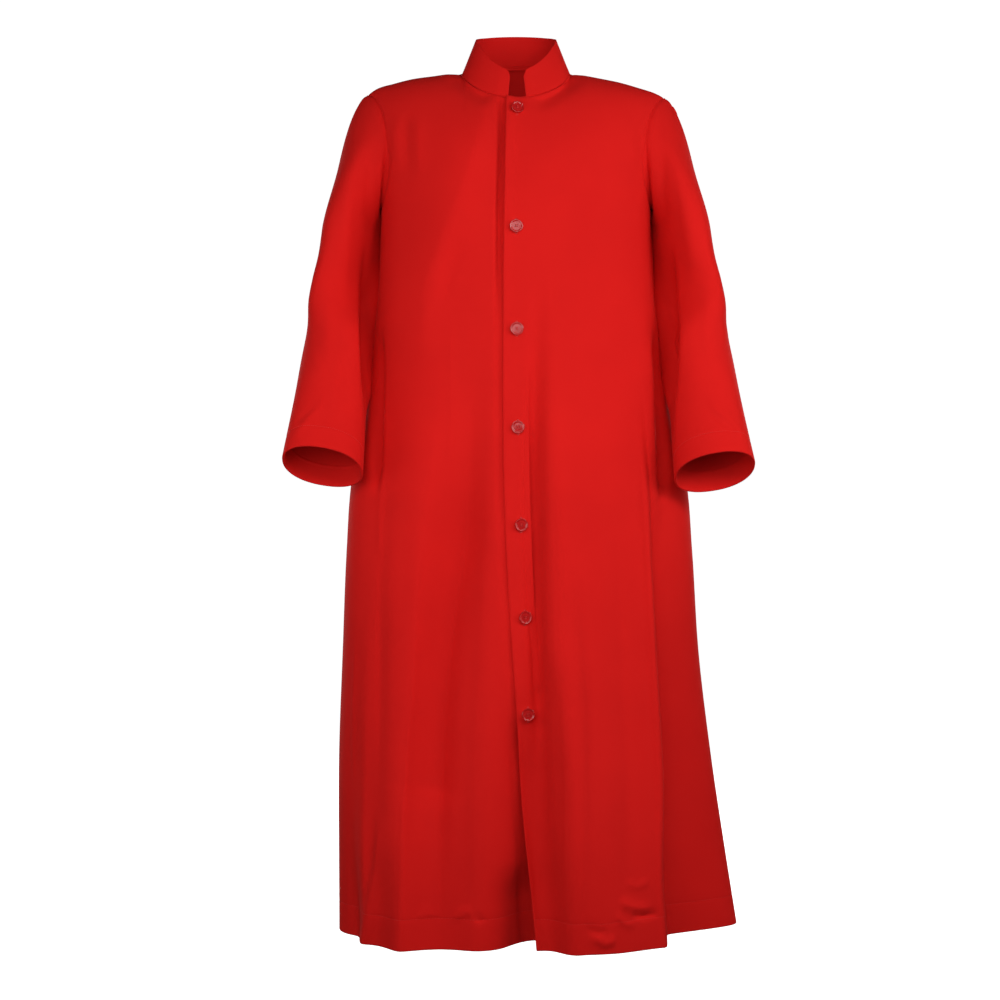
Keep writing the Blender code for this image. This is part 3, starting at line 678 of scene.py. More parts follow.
RIGHT_FRONT_CREASES = (
    # pulls below the sleeve head
    Crease(((-190, -75), (-189, -120), (-184, -170)), 1.6, 9, 8),
    Crease(((-171, -70), (-172, -120), (-168, -180)), -2, 8, 8),
    Crease(((-152, -75), (-152, -130), (-146, -190)), 1.4, 9, 9),
    # under the collar
    Crease(((-112, -4), (-86, -24), (-58, -48), (-36, -62)), -4.2, 12, 14),
    # the pull from the neck down to the waist
    Crease(((-46, -20), (-60, -110), (-88, -205), (-122, -300), (-144, -380), (-155, -520)), 12.5, 24, 62),
    Crease(((-84, -270), (-101, -325), (-116, -390)), -3, 10, 10),
    # the hollow under the free edge
    Crease(((-24, 20), (-23, -120), (-26, -240), (-27, -420)), -8, 10, 5),
    # the long hollow
    Crease(((-68, -360), (-74.5, -619), (-77.6, -741), (-95.9, -863), (-111.2, -986), (-115.8, -1108),
            (-120, -1215), (-121, -1750)), -28, 21, 68),
    # the long ridge down to the hem
    Crease(((-150, -380), (-152, -600), (-156, -760), (-163, -890), (-168, -1050), (-174, -1220),
            (-178, -1600)), 6, 30, 34),
    Crease(((-150, -820), (-160, -960), (-168, -1060), (-175, -1222), (-178, -1500)), 2.2, 8, 3),
    Crease(((-203, -600), (-208, -800), (-212, -930), (-208, -1120), (-205, -1300)), 11, 28, 20),
    Crease(((-208, -600), (-209, -700), (-206, -780)), 1.6, 6, 6),
    Crease(((-250, -880), (-254, -1020), (-252, -1160)), 1.2, 4, 4),
    # the fold at the side of the hem
    Crease(((-200, -1140), (-213, -1235), (-228, -1310), (-242, -1400)), 5.5, 16, 9),
    Crease(((-216, -1160), (-230, -1250), (-243, -1330), (-256, -1400)), -4.5, 10, 14),
    # the light swell beside the slit, and the fall into it
    Crease(((-44, -620), (-50, -900), (-60, -1080), (-62, -1500)), 6, 30, 18),
    Crease(((24, -950), (30, -1080), (36, -1220), (46, -1700)), -27, 52, 40),
    Crease(((4, -1225), (6, -1300), (10, -1370), (12, -1540)), -15, 40, 32),
    # where the sleeve lies against the side
    Crease(((-213, -400), (-216, -500), (-217, -600), (-216, -680)), -17, 6, 10),
    # faint lines from when it lay folded
    Crease(((-102, -380), (-102, -520), (-104, -700)), 0.7, 4, 4),
    Crease(((-108, -393), (-70, -392), (-26, -393)), 0.6, 4, 4),
    # puckers of the hem
    Crease(((-96, -1322), (-78, -1304), (-56, -1312)), 3, 5, 5),
    Crease(((-70, -1298), (-60, -1312), (-50, -1322)), -3, 4, 4),
    Crease(((-150, -1318), (-136, -1306), (-118, -1314)), 1.4, 5, 5),
)
LEFT_FRONT_CREASES = (
    # under the collar
    Crease(((22, -70), (50, -52), (80, -28), (112, -8)), -4.6, 12, 14),
    # the hollow beside the buttons
    Crease(((34, -300), (30, -450), (24.5, -620), (24.5, -740), (27, -860), (34, -980), (36, -1080),
            (38, -1350)), -12.5, 14, 10),
    Crease(((58, -320), (60, -360), (61, -410)), -1, 8, 8),
    # the fall of the free edge below the last button
    Crease(((4, -950), (10, -1060), (17, -1140), (26, -1220), (36, -1320), (44, -1720)), -19, 30, 20),
    # the narrow ridge beyond it
    Crease(((50, -420), (52, -580), (56, -760), (64, -900), (80, -1040), (86, -1180), (83, -1620)), 6.2, 26, 13),
    Crease(((56, -700), (62, -880), (76, -1000), (84, -1120), (86, -1300), (83, -1700)), 21.5, 48, 38),
    Crease(((60, -520), (66, -700), (73, -860), (83, -1020), (87, -1180), (83, -1420)), 1.4, 3, 3),
    Crease(((158, -620), (164, -860), (172, -1080), (176, -1400)), -6, 26, 22),
    # where the sleeve lies against the side
    Crease(((202, -380), (206, -500), (209, -620), (212, -780)), 8, 10, 18),
    Crease(((217, -400), (220.5, -500), (224, -600), (226, -700)), -17, 9, 6),
    # the lip of the pleat
    Crease(((188, -540), (194, -650), (203, -780), (210, -920), (218, -1060), (223, -1200), (229, -1620)), 5, 4, 7),
    # puckers of the hem
    Crease(((150, -1282), (178, -1296), (210, -1302)), 4.4, 6, 7),
    Crease(((172, -1308), (194, -1312), (220, -1310)), -4.6, 5, 4),
    Crease(((112, -1330), (132, -1346), (152, -1338)), 4, 6, 6),
    Crease(((100, -1318), (120, -1330), (138, -1328)), -2.4, 4, 4),
    Crease(((160, -1256), (184, -1266), (206, -1256)), 2.2, 5, 5),
    Crease(((148, -1300), (160, -1318), (184, -1326)), 2.4, 5, 4),
    # a pull below the sleeve head
    Crease(((178, -80), (180, -130), (174, -190)), 1.2, 10, 10),
    Crease(((196, -90), (196, -140), (190, -190)), -1.2, 8, 8),
)
BACK_CREASES = (
    # the folds at the sides, under the arms
    Crease(((-200, -150), (-204.5, -230), (-207.4, -340), (-218, -430), (-230.8, -520), (-252, -700)), 16, 8, 8),
    Crease(((200, -150), (204.5, -230), (208.8, -340), (219.4, -430), (234, -520), (260, -700)), 16, 8, 8),
    # across the shoulder blades
    Crease(((-170, -110), (-130, -150), (-90, -160)), 2.4, 12, 12),
    Crease(((172, -115), (128, -158), (86, -172)), 2.2, 12, 12),
    Crease(((-150, -220), (-80, -262), (10, -270), (90, -256)), 2, 14, 12),
    # the hollow of the back
    Crease(((4, -190), (6, -340), (2, -520), (-6, -700)), -3.6, 22, 20),
    Crease(((60, -360), (52, -520), (58, -760), (70, -1050)), 3.4, 10, 20),
    Crease(((-66, -400), (-60, -560), (-70, -800), (-86, -1100)), 3, 18, 9),
    Crease(((-180, -520), (-172, -760), (-186, -1020), (-196, -1420)), 3.6, 20, 8),
    Crease(((176, -560), (182, -780), (212, -1060), (232, -1420)), 3.6, 8, 20),
    Crease(((120, -700), (130, -900), (146, -1120), (150, -1300)), -3.4, 12, 14),
    Crease(((-126, -640), (-130, -860), (-140, -1100), (-142, -1300)), -3.4, 14, 12),
    # puckers of the hem
    Crease(((-120, -1306), (-98, -1314), (-70, -1308)), 2, 5, 5),
    Crease(((90, -1310), (116, -1318), (144, -1312)), 2, 5, 5),
)
RIGHT_SLEEVE_CREASES = (
    # where the front of the sleeve folds back beside the body
    Crease(((-238, -270), (-236, -369), (-232, -431), (-228, -493), (-224, -548), (-221, -720)), -40, 15, 6),
    Crease(((-240, -100), (-260, -180), (-266, -280), (-276, -400)), 4, 10, 14),
    Crease(((-228, -110), (-232, -190), (-234, -270)), -3, 8, 8),
    Crease(((-345, -590), (-316, -556), (-290, -520)), 2, 6, 6),
    Crease(((-342, -566), (-318, -546), (-298, -530)), -1.4, 4, 4),
    Crease(((-250, -560), (-262, -500), (-256, -440)), -1.6, 8, 8),
    Crease(((-300, -330), (-292, -400), (-296, -470)), 1.6, 10, 10),
    Crease(((-322, -440), (-306, -470), (-292, -478)), 1.2, 6, 6),
)
LEFT_SLEEVE_CREASES = (
    # where the front of the sleeve folds back beside the body
    Crease(((242, -270), (243, -369), (241, -431), (237, -493), (232, -548), (229, -720)), -40, 6, 15),
    Crease(((240, -100), (256, -180), (268, -260), (282, -350)), 4, 14, 10),
    Crease(((228, -110), (230, -190), (233, -260)), -3, 8, 8),
    Crease(((286, -530), (316, -552), (354, -584)), 2, 6, 6),
    Crease(((288, -544), (312, -562), (340, -584)), -1.4, 4, 4),
    Crease(((300, -340), (296, -410), (302, -480)), 1.6, 10, 10),
    Crease(((330, -400), (318, -440), (300, -456)), 1.4, 7, 7),
)
SLEEVE_BACK_CREASES = (
    Crease(((238, -100), (254, -180), (262, -270), (272, -360)), 3, 12, 12),
    Crease(((300, -330), (280, -370), (250, -384)), 3.4, 10, 9),
    Crease(((306, -380), (284, -410), (256, -420)), -2.8, 9, 9),
    Crease(((312, -410), (292, -442), (262, -456)), 2.6, 9, 10),
    Crease(((290, -470), (300, -540), (308, -600)), 1.6, 10, 10),
)


@dataclass(frozen=True)
class Form:
    """The garment's filled-out form: rings of a superellipse from hem to chest, and a dome up to the shoulders."""

    wall: float = 1.5 * MM
    seam_gap: float = 0.05 * MM
    lap_gap: float = 0.6 * MM
    hem_z: float = -1.362
    chest_z: float = -0.220
    slit_z: float = -1.035
    tip_x: float = 0.238
    neck_x: float = 0.086
    neck_front_drop: float = 0.052
    neck_back_rise: float = 0.022
    front_crown: float = 0.006
    back_crown: float = 0.040
    neck_gather: float = 0.6
    front_armhole: float = 0.30
    back_armhole: float = 0.26
    armhole_sag: float = 0.66
    armhole_fullness: float = 0.75
    under_lap: float = 0.040
    lap_ledge: float = 0.004
    lap_ramp: float = 0.012
    slit_depth: float = 0.031
    slit_start: float = 0.115
    slit_span: float = 0.140
    pleat_turn: float = 0.010
    pleat_slope: float = 0.55
    fine: int = 400

    def fold_depth(self, face: Face, x: np.ndarray, z: np.ndarray) -> np.ndarray:
        """How far the folds lift one face's cloth at x, z."""
        total = np.zeros_like(x)
        for fold in FOLDS:
            if fold.face is not face:
                continue
            t = np.clip((fold.top_z - z) / (fold.top_z - fold.low_z), 0.0, 1.0)
            line = (1 - t) * (1 - 2 * t) * fold.top_x + 4 * t * (1 - t) * fold.mid_x + t * (2 * t - 1) * fold.low_x
            width = fold.top_width + t * (fold.low_width - fold.top_width)
            rise = np.where(t < 0.5, ease(2 * t) * fold.mid_depth,
                            fold.mid_depth + ease(2 * t - 1) * (fold.low_depth - fold.mid_depth))
            total = total + rise * np.exp(-np.abs((x - line) / width) ** fold.peak)
        return total

    def chest_section(self, face: Face, turn: np.ndarray, z: float) -> tuple[np.ndarray, ...]:
        """Plan of the body at height z.

        Args:
            face: front or back.
            turn: places round the section, from -1 at the right side seam to 1 at the left one.
            z: the height.

        Returns:
            x, y, half width and depth at each place.
        """
        square = along(BODY, "z", "square", z)
        half = np.where(turn < 0, along(BODY, "z", "right", z), along(BODY, "z", "left", z))
        depth = along(BODY, "z", face.value, z) * (-1.0 if face is Face.FRONT else 1.0)
        angle = turn * math.pi / 2
        x = half * signed_power(np.sin(angle), 2 / square)
        y = depth * np.abs(np.cos(angle)) ** (2 / square)
        return x, y, half, depth

    def ridge_height(self, face: Face, x: np.ndarray) -> np.ndarray:
        """Height at which the dome closes above x."""
        crown = self.front_crown if face is Face.FRONT else self.back_crown
        inside = crown * (1 - np.clip(np.abs(x) / self.neck_x, 0, 1) ** 2)
        right = along(SHOULDER, "x", "right_z", np.abs(x))
        left = along(SHOULDER, "x", "left_z", np.abs(x))
        return np.where(np.abs(x) < self.neck_x, inside, np.where(x < 0, right, left))

    def neckline_height(self, face: Face, x: np.ndarray) -> np.ndarray:
        """Height of the neckline at x."""
        rise = -self.neck_front_drop if face is Face.FRONT else self.neck_back_rise
        return rise * np.sqrt(np.clip(1 - (x / self.neck_x) ** 2, 0, 1))

    def points(self, face: Face, turn: np.ndarray, level: float) -> np.ndarray:
        """Points of the outer surface.

        Args:
            face: front or back.
            turn: places round the section, from -1 at the right side seam to 1 at the left one.
            level: -1 at the hem, 0 at the chest, 1 at the neckline and the shoulder seams.

        Returns:
            The points, one row for each place.
        """
        if level <= 0:
            z = self.chest_z + level * (self.chest_z - self.hem_z)
            x, y, half, depth = self.chest_section(face, turn, z)
            z = np.full_like(x, z)
            fade = 1.0
        else:
            x0, y0, half, depth = self.chest_section(face, turn, self.chest_z)
            top_x = x0 * self.tip_x / half
            square = 2.0 + 0.4 * np.clip(np.abs(top_x) / self.tip_x, 0, 1) ** 2
            crest = self.ridge_height(face, top_x)
            trim = np.where(np.abs(top_x) < self.neck_x, self.neckline_height(face, top_x), crest)
            share = np.clip((trim - self.chest_z) / (crest - self.chest_z), 0.0, 1.0)
            shortfall = 1 - np.arcsin(share ** (square / 2)) * 2 / math.pi
            angle = math.pi / 2 * level * (1 - shortfall * level**self.neck_gather)
            x = x0 + (top_x - x0) * np.sin(angle)
            y = y0 * np.cos(angle) ** (2 / square)
            z = self.chest_z + (crest - self.chest_z) * np.sin(angle) ** (2 / square)
            fade = np.cos(angle)
        normal_x = x / half**2
        normal_y = y / depth**2
        length = np.hypot(normal_x, normal_y) + 1e-9
        lift = self.fold_depth(face, x, z) * fade * ease((1.0 - np.abs(turn)) / 0.15)
        x = x + lift * normal_x / length
        y = y + lift * normal_y / length
        if face is Face.FRONT:
            edge = along(PLEAT, "z", "edge_x", z)
            beyond = np.clip((x - edge) / (half - edge), 0.0, 1.0)
            recess = along(PLEAT, "z", "recess", z) * (1 + self.pleat_slope * beyond) * (z < PLEAT[-1].z)
            y = y * (1 - recess * ease((x - edge) / self.pleat_turn + 0.5))
        seam_y = np.where(turn < 0, along(BODY, "z", "right_seam_y", z), along(BODY, "z", "left_seam_y", z))
        y = y + seam_y * np.abs(turn) ** 3
        return np.stack([x, y, z], axis=-1)

    def armhole_turn(self, face: Face, level: float) -> float:
        """How far round from the middle a face's rows run above the armpit."""
        bite = self.front_armhole if face is Face.FRONT else self.back_armhole
        swell = max(math.sin(math.pi * max(level, 0.0) ** self.armhole_sag), 0.0)
        return 1.0 - bite * swell**self.armhole_fullness

    def neck_turn(self) -> float:
        """Place round the section of the column that meets the shoulder seam's inner end."""
        square = float(along(BODY, "z", "square", self.chest_z))
        return 2 / math.pi * math.asin((self.neck_x / self.tip_x) ** (square / 2))

    def turn_at_x(self, level: float, x: float) -> float:
        """Place round the front section where its cloth reaches x, near the middle."""
        turns = np.linspace(-0.4, 0.4, self.fine)
        return float(np.interp(x, self.points(Face.FRONT, turns, level)[:, 0], turns))

    def row(self, face: Face, level: float, turns: Sequence[float], shares: Sequence[np.ndarray]) -> np.ndarray:
        """One row of a panel.

        Args:
            face: front or back.
            level: the row's level.
            turns: places round the section that the row runs through.
            shares: for each stretch between two of them, its points' shares of its length.

        Returns:
            The row's points.
        """
        pieces = []
        for start, end, share in zip(turns, turns[1:], shares):
            path = self.points(face, np.linspace(start, end, self.fine), level)
            pieces.append(at_lengths(path, share[:-1] * path_length(path)[-1]))
        pieces.append(path[-1:])
        return np.concatenate(pieces)

    def row_height(self, level: float) -> float:
        """Height at which a row crosses the middle of the front."""
        return float(self.points(Face.FRONT, np.array([0.0]), level)[0, 2])

    def part_at_seam(self, first: np.ndarray, seam: np.ndarray, second: np.ndarray) -> tuple[np.ndarray, np.ndarray]:
        """Draw two pieces back from their common seam, so that their walls stay clear on the inside too.

        Args:
            first: the row of the first piece next to the seam.
            seam: the seam's points.
            second: the row of the second piece next to the seam.

        Returns:
            The first and the second piece's own edge.
        """
        into, out = unit(seam - first), unit(second - seam)
        cosine = np.clip((into * out).sum(axis=-1, keepdims=True), -0.5, 1.0)
        back_off = self.seam_gap / 2 + self.wall * np.sqrt((1 - cosine) / (1 + cosine))
        room = np.minimum(np.linalg.norm(seam - first, axis=-1), np.linalg.norm(second - seam, axis=-1))
        back_off = np.minimum(back_off, 0.7 * room[..., None])
        return seam - back_off * into, seam + back_off * out


@dataclass
class Body:
    """The two fronts and the back, cut from one form and sewn at the sides and shoulders."""

    form: Form = field(default_factory=Form)
    skirt_rows: int = 226
    dome_rows: int = 48
    dome_crowding: float = 1.25
    lap_cells: int = 12
    neck_cells: int = 26
    side_cells: int = 74
    lip_cells: int = 12
    beyond_cells: int = 18
    soft_cells: int = 9
    lip_before: float = 0.008
    lip_beyond: float = 0.009
    lip_room: float = 0.016
    back_neck_cells: int = 36
    back_side_cells: int = 54
    hem_depth: float = 46 * MM
    turn_gap: float = 0.3 * MM
    edge: float = 0.5 * MM
    seam_reach: float = 14 * MM        # how far from a seam a crease dies out
    slack_height: float = 0.35 * MM
    groove_width: float = 2.4 * MM
    groove_depth: float = 1.1 * MM
    armpit_depth: float = 5.5 * MM
    armpit_width: float = 8.0 * MM
    armpit_top: float = -0.110
    armpit_foot: float = -0.290
    armpit_fade: float = 0.060         # height over which the armpit's draw begins below its top
    armpit_end: float = 0.050          # and over which it ends above its foot
    stitch_sink: float = 0.45 * MM
    button_hold: float = 13 * MM       # how far a button keeps the cloth smooth
    edge_stand: float = 2.2 * MM       # how far the free edge stands off between its buttons
    top_stand: float = 2.6 * MM        # and how much further at the top
    stand_foot: float = -0.300
    stand_rise: float = 0.180
    stand_hold: float = 0.022
    stand_width: float = 0.020
    stand_kept: float = 0.45           # share of the stand that a button holds down
    edge_roll: float = 2.2 * MM
    roll_share: float = 0.8
    soft_passes: int = 24
    front_margin: float = 3.0 * MM     # how far each hem's inner layer stops short of the side seam
    back_margin: float = 4.5 * MM
    pull_width: float = 1.6 * MM       # reach of the stitches' pull on the cloth
    pucker_wave: float = 5.3 * MM
    pucker_drift: float = 41 * MM
    hem_pitch: float = 5.0 * MM
    levels: np.ndarray = field(init=False)
    right: Sheet = field(init=False)
    left: Sheet = field(init=False)
    back: Sheet = field(init=False)

    def __post_init__(self) -> None:
        """Cut the three panels and sew them."""
        skirt = np.linspace(-1.0, 0.0, self.skirt_rows + 1)
        dome = graded(self.dome_rows, close_end=True) ** self.dome_crowding
        self.levels = np.concatenate([skirt, dome[1:]])
        self.right = Sheet("cassock_right_front", self.front_grid(Side.RIGHT), flip=True)
        self.left = Sheet("cassock_left_front", self.front_grid(Side.LEFT))
        self.back = Sheet("cassock_back", self.back_grid(), flip=True)
        neck_end = self.back_side_cells + self.back_neck_cells
        for sheet, column in ((self.right, self.lap_cells + self.neck_cells), (self.left, self.neck_cells),
                              (self.back, self.back_side_cells), (self.back, neck_end)):
            self.soften(sheet.grid, column)
        self.sink_under_lap()

    def soften(self, grid: np.ndarray, column: int) -> None:
        """Ease the chest's cloth across one column, and leave the rows at the seam as they are."""
        first, last = column - self.soft_cells, column + self.soft_cells + 1
        rows = slice(self.skirt_rows, -3)
        weight = np.sin(np.linspace(0.0, math.pi, last - first))[None, 1:-1, None]
        for _ in range(self.soft_passes):
            stretch = grid[rows, first:last]
            grid[rows, first + 1:last - 1] += weight * (stretch[:, :-2] / 4 + stretch[:, 2:] / 4
                                                        - stretch[:, 1:-1] / 2)

    def front_grid(self, side: Side) -> np.ndarray:
        """Rows of a front from its free edge to its side seam."""
        form, s = self.form, side.value
        neck = graded(self.neck_cells, close_start=side is Side.LEFT)
        flank = graded(self.side_cells, close_end=True)
        grid = []
        for level in self.levels:
            edge = float(along(LAP, "z", "edge_x", form.row_height(level)))
            turns = [s * form.neck_turn(), s * form.armhole_turn(Face.FRONT, level)]
            shares = [neck, flank]
            if side is Side.RIGHT:
                turns = [form.turn_at_x(level, edge + form.under_lap),
                         form.turn_at_x(level, edge - form.lap_ledge)] + turns
                shares = [graded(self.lap_cells)] + shares
            else:
                turns = [form.turn_at_x(level, edge), turns[0], *self.pleat_turns(level, turns[1]), turns[1]]
                shares = [neck, graded(self.side_cells - self.lip_cells - self.beyond_cells),
                          graded(self.lip_cells), graded(self.beyond_cells, close_end=True)]
            grid.append(form.row(Face.FRONT, level, turns, shares))
        return np.array(grid)

    def pleat_turns(self, level: float, reach: float) -> tuple[float, float]:
        """Places round the section just before and just beyond the pleat's edge, or where it would run on up."""
        form = self.form
        turns = np.linspace(0.2, reach, form.fine)
        points = form.points(Face.FRONT, turns, level)
        edge = float(along(PLEAT, "z", "edge_x", points[-1, 2]))
        x = points[:, 0]
        lip = min(edge - self.lip_before, x[-1] - self.lip_room - self.lip_before - self.lip_beyond)
        return float(np.interp(lip, x, turns)), float(np.interp(lip + self.lip_before + self.lip_beyond, x, turns))

    def back_grid(self) -> np.ndarray:
        """Rows of the back from the right side seam to the left one."""
        form = self.form
        shares = [graded(self.back_side_cells, close_start=True), graded(self.back_neck_cells),
                  graded(self.back_side_cells, close_end=True)]
        grid = []
        for level in self.levels:
            reach = form.armhole_turn(Face.BACK, level)
            grid.append(form.row(Face.BACK, level, [-reach, -form.neck_turn(), form.neck_turn(), reach], shares))
        return np.array(grid)

    def sink_under_lap(self) -> None:
        """Lay the right front's free edge under the left front, and let it fall back below the last button."""
        form, grid = self.form, self.right.grid
        x, z = grid[..., 0], grid[..., 2]
        edge = along(LAP, "z", "edge_x", z)
        lap = (form.wall + form.lap_gap) * ease((x - edge + form.lap_ledge + form.lap_ramp) / form.lap_ramp)
        parted = np.clip((form.slit_z - z) / (form.slit_z - form.hem_z), 0.0, 1.0)
        fall = form.slit_depth * parted**1.5 * ease((x - edge + form.slit_start) / form.slit_span)
        grid[..., 1] += lap + fall

    def sew(self) -> None:
        """Open the side seams and the shoulder seams by the seam gap."""
        form = self.form
        right, left, back = self.right.grid, self.left.grid, self.back.grid
        body_rows = self.skirt_rows + 1
        for front, edge, inner in ((right, 0, 1), (left, -1, -2)):
            seam = front[:body_rows, -1].copy()
            front[:body_rows, -1], back[:body_rows, edge] = form.part_at_seam(
                front[:body_rows, -2], seam, back[:body_rows, inner])
        neck_end = self.back_side_cells + self.back_neck_cells
        for front, neck_column, columns in (
                (right, self.lap_cells + self.neck_cells, slice(self.back_side_cells, None, -1)),
                (left, self.neck_cells, slice(neck_end, None))):
            seam = front[-1, neck_column:].copy()
            rim = back[-1, columns].copy()
            here, there = np.linspace(0, 1, len(seam)), np.linspace(0, 1, len(rim))
            behind = np.stack([np.interp(here, there, back[-2, columns][:, axis]) for axis in range(3)], axis=-1)
            ahead = np.stack([np.interp(there, here, front[-2, neck_column:][:, axis]) for axis in range(3)], axis=-1)
            front[-1, neck_column:], _ = form.part_at_seam(front[-2, neck_column:], seam, behind)
            back[-1, columns], _ = form.part_at_seam(back[-2, columns], rim, ahead)

    def free(self, sheet: Sheet, sides: Sequence[bool]) -> np.ndarray:
        """How free the cloth is to crease, from 0 at a seam to 1.

        Args:
            sheet: the panel.
            sides: its sewn sides; True is the first column.

        Returns:
            The freedom of each point.
        """
        away = ease(sheet.top_distance() / self.seam_reach)
        for first in sides:
            away = away * ease(sheet.side_distance(first) / self.seam_reach)
        return away

    def crease(self) -> None:
        """Lay the creases, the slack and the seams' grooves into the three panels."""
        for sheet, creases, sides, phase in (
                (self.right, RIGHT_FRONT_CREASES, (False,), 0.4),
                (self.left, LEFT_FRONT_CREASES, (False,), 1.9),
                (self.back, BACK_CREASES, (True, False), 3.1)):
            x, z = sheet.grid[..., 0], sheet.grid[..., 2]
            lift = crease_height(creases, x, z) + self.slack_height * slack(x, z, phase)
            lift = lift * self.free(sheet, sides)
            if sheet is not self.back:
                edge = along(LAP, "z", "edge_x", z)
                for button_x, button_z in BUTTON_PLACES:
                    near = np.exp(-((x - button_x) ** 2 + (z - button_z) ** 2) / self.button_hold**2)
                    lift = lift * (1 - near)
            if sheet is self.left:
                reach = x - edge
                stand = self.edge_stand + self.top_stand * ease((z - self.stand_foot) / self.stand_rise)
                hold = np.zeros_like(x)
                for button_x, button_z in BUTTON_PLACES:
                    hold = np.maximum(hold, np.exp(-((z - button_z) / self.stand_hold) ** 2))
                lift = lift + stand * (1 - self.stand_kept * hold) * (1 - ease(reach / self.stand_width))
                roll = np.clip(self.edge_roll - sheet.across(), 0.0, self.edge_roll)
                lift = lift - (self.edge_roll - np.sqrt(self.edge_roll**2 - roll**2)) * self.roll_share
            groove = np.exp(-(sheet.top_distance() / self.groove_width) ** 2)
            for first in sides:
                away = sheet.side_distance(first)
                groove = np.maximum(groove, np.exp(-(away / self.groove_width) ** 2))
                lift = lift - self.armpit_depth * self.armpit(z) * np.exp(-(away / self.armpit_width) ** 2)
            sheet.move(lift - self.groove_depth * groove)

    def armpit(self, z: np.ndarray) -> np.ndarray:
        """How far the cloth is drawn in beside the armhole at each height, from 0 to 1."""
        return ease((self.armpit_top - z) / self.armpit_fade) * ease((z - self.armpit_foot) / self.armpit_end)

    def hem(self, sewing: "Sewing") -> bpy.types.Object:
        """Turn the hem up inside and sew it down.

        Args:
            sewing: the stitches.

        Returns:
            The hem's stitches.
        """
        lines = []
        for sheet, margin in ((self.right, self.front_margin), (self.left, self.front_margin),
                              (self.back, self.back_margin)):
            sheet.refine(self.hem_depth)
            pull = np.exp(-((sheet.up() - self.hem_depth) / self.pull_width) ** 2)
            drift = 2.0 * np.sin(sheet.across() / self.pucker_drift)
            pucker = 0.7 + 0.3 * np.sin(sheet.across() / self.pucker_wave + drift)
            sheet.move(-self.stitch_sink * pull * pucker)
            lines.append(sheet.line_at(self.hem_depth))
            sheet.turn_up(self.hem_depth, self.form.wall, self.turn_gap, margin)
        return sewing.lay("cassock_hem_stitches", lines, pitch=self.hem_pitch)

    def armhole(self, side: Side) -> tuple[np.ndarray, np.ndarray, np.ndarray]:
        """The armhole from the shoulder point down the front, round the armpit and up the back.

        Args:
            side: which armhole.

        Returns:
            Its points, which are the panels' own, the panels' outward direction at each, and the direction in
            which the panels run up to it.
        """
        front = self.right if side is Side.RIGHT else self.left
        found: list[list[np.ndarray]] = [[], [], []]
        for sheet, column, inner, falling in ((front, -1, -4, True),
                                              (self.back, *((0, 3) if side is Side.RIGHT else (-1, -4)), False)):
            upper = slice(self.skirt_rows, None)
            line, outward = sheet.grid[upper, column], sheet.normals()[upper, column]
            for kept, values in zip(found, (line, outward, unit(line - sheet.grid[upper, inner]))):
                kept.append(values[::-1][:-1] if falling else values[:-1])
        points, normals, towards = (np.concatenate(values) for values in found)
        return points, normals, towards

    def neckline(self, right_end: float, left_end: float, end_cell: float) -> np.ndarray:
        """The neckline from the right front's collar end round the back to the left front's.

        Args:
            right_end: where the collar ends on the right front.
            left_end: where it ends on the left front.
            end_cell: least width of the collar's end cells.

        Returns:
            The neckline's points.
        """
        ends = []
        for front, end, cells in ((self.right.grid, right_end, self.lap_cells + self.neck_cells),
                                  (self.left.grid, left_end, self.neck_cells)):
            line = front[-1, :cells + 1]
            order = np.argsort(line[:, 0])
            start = np.array([np.interp(end, line[order, 0], line[order, axis]) for axis in range(3)])
            beyond = line[line[:, 0] * np.sign(end) > abs(end) + end_cell]
            ends.append(np.concatenate([start[None], beyond[:-1]]))
        behind = self.back.grid[-1, self.back_side_cells:self.back_side_cells + self.back_neck_cells + 1]
        return np.concatenate([ends[0], behind, ends[1][::-1]])


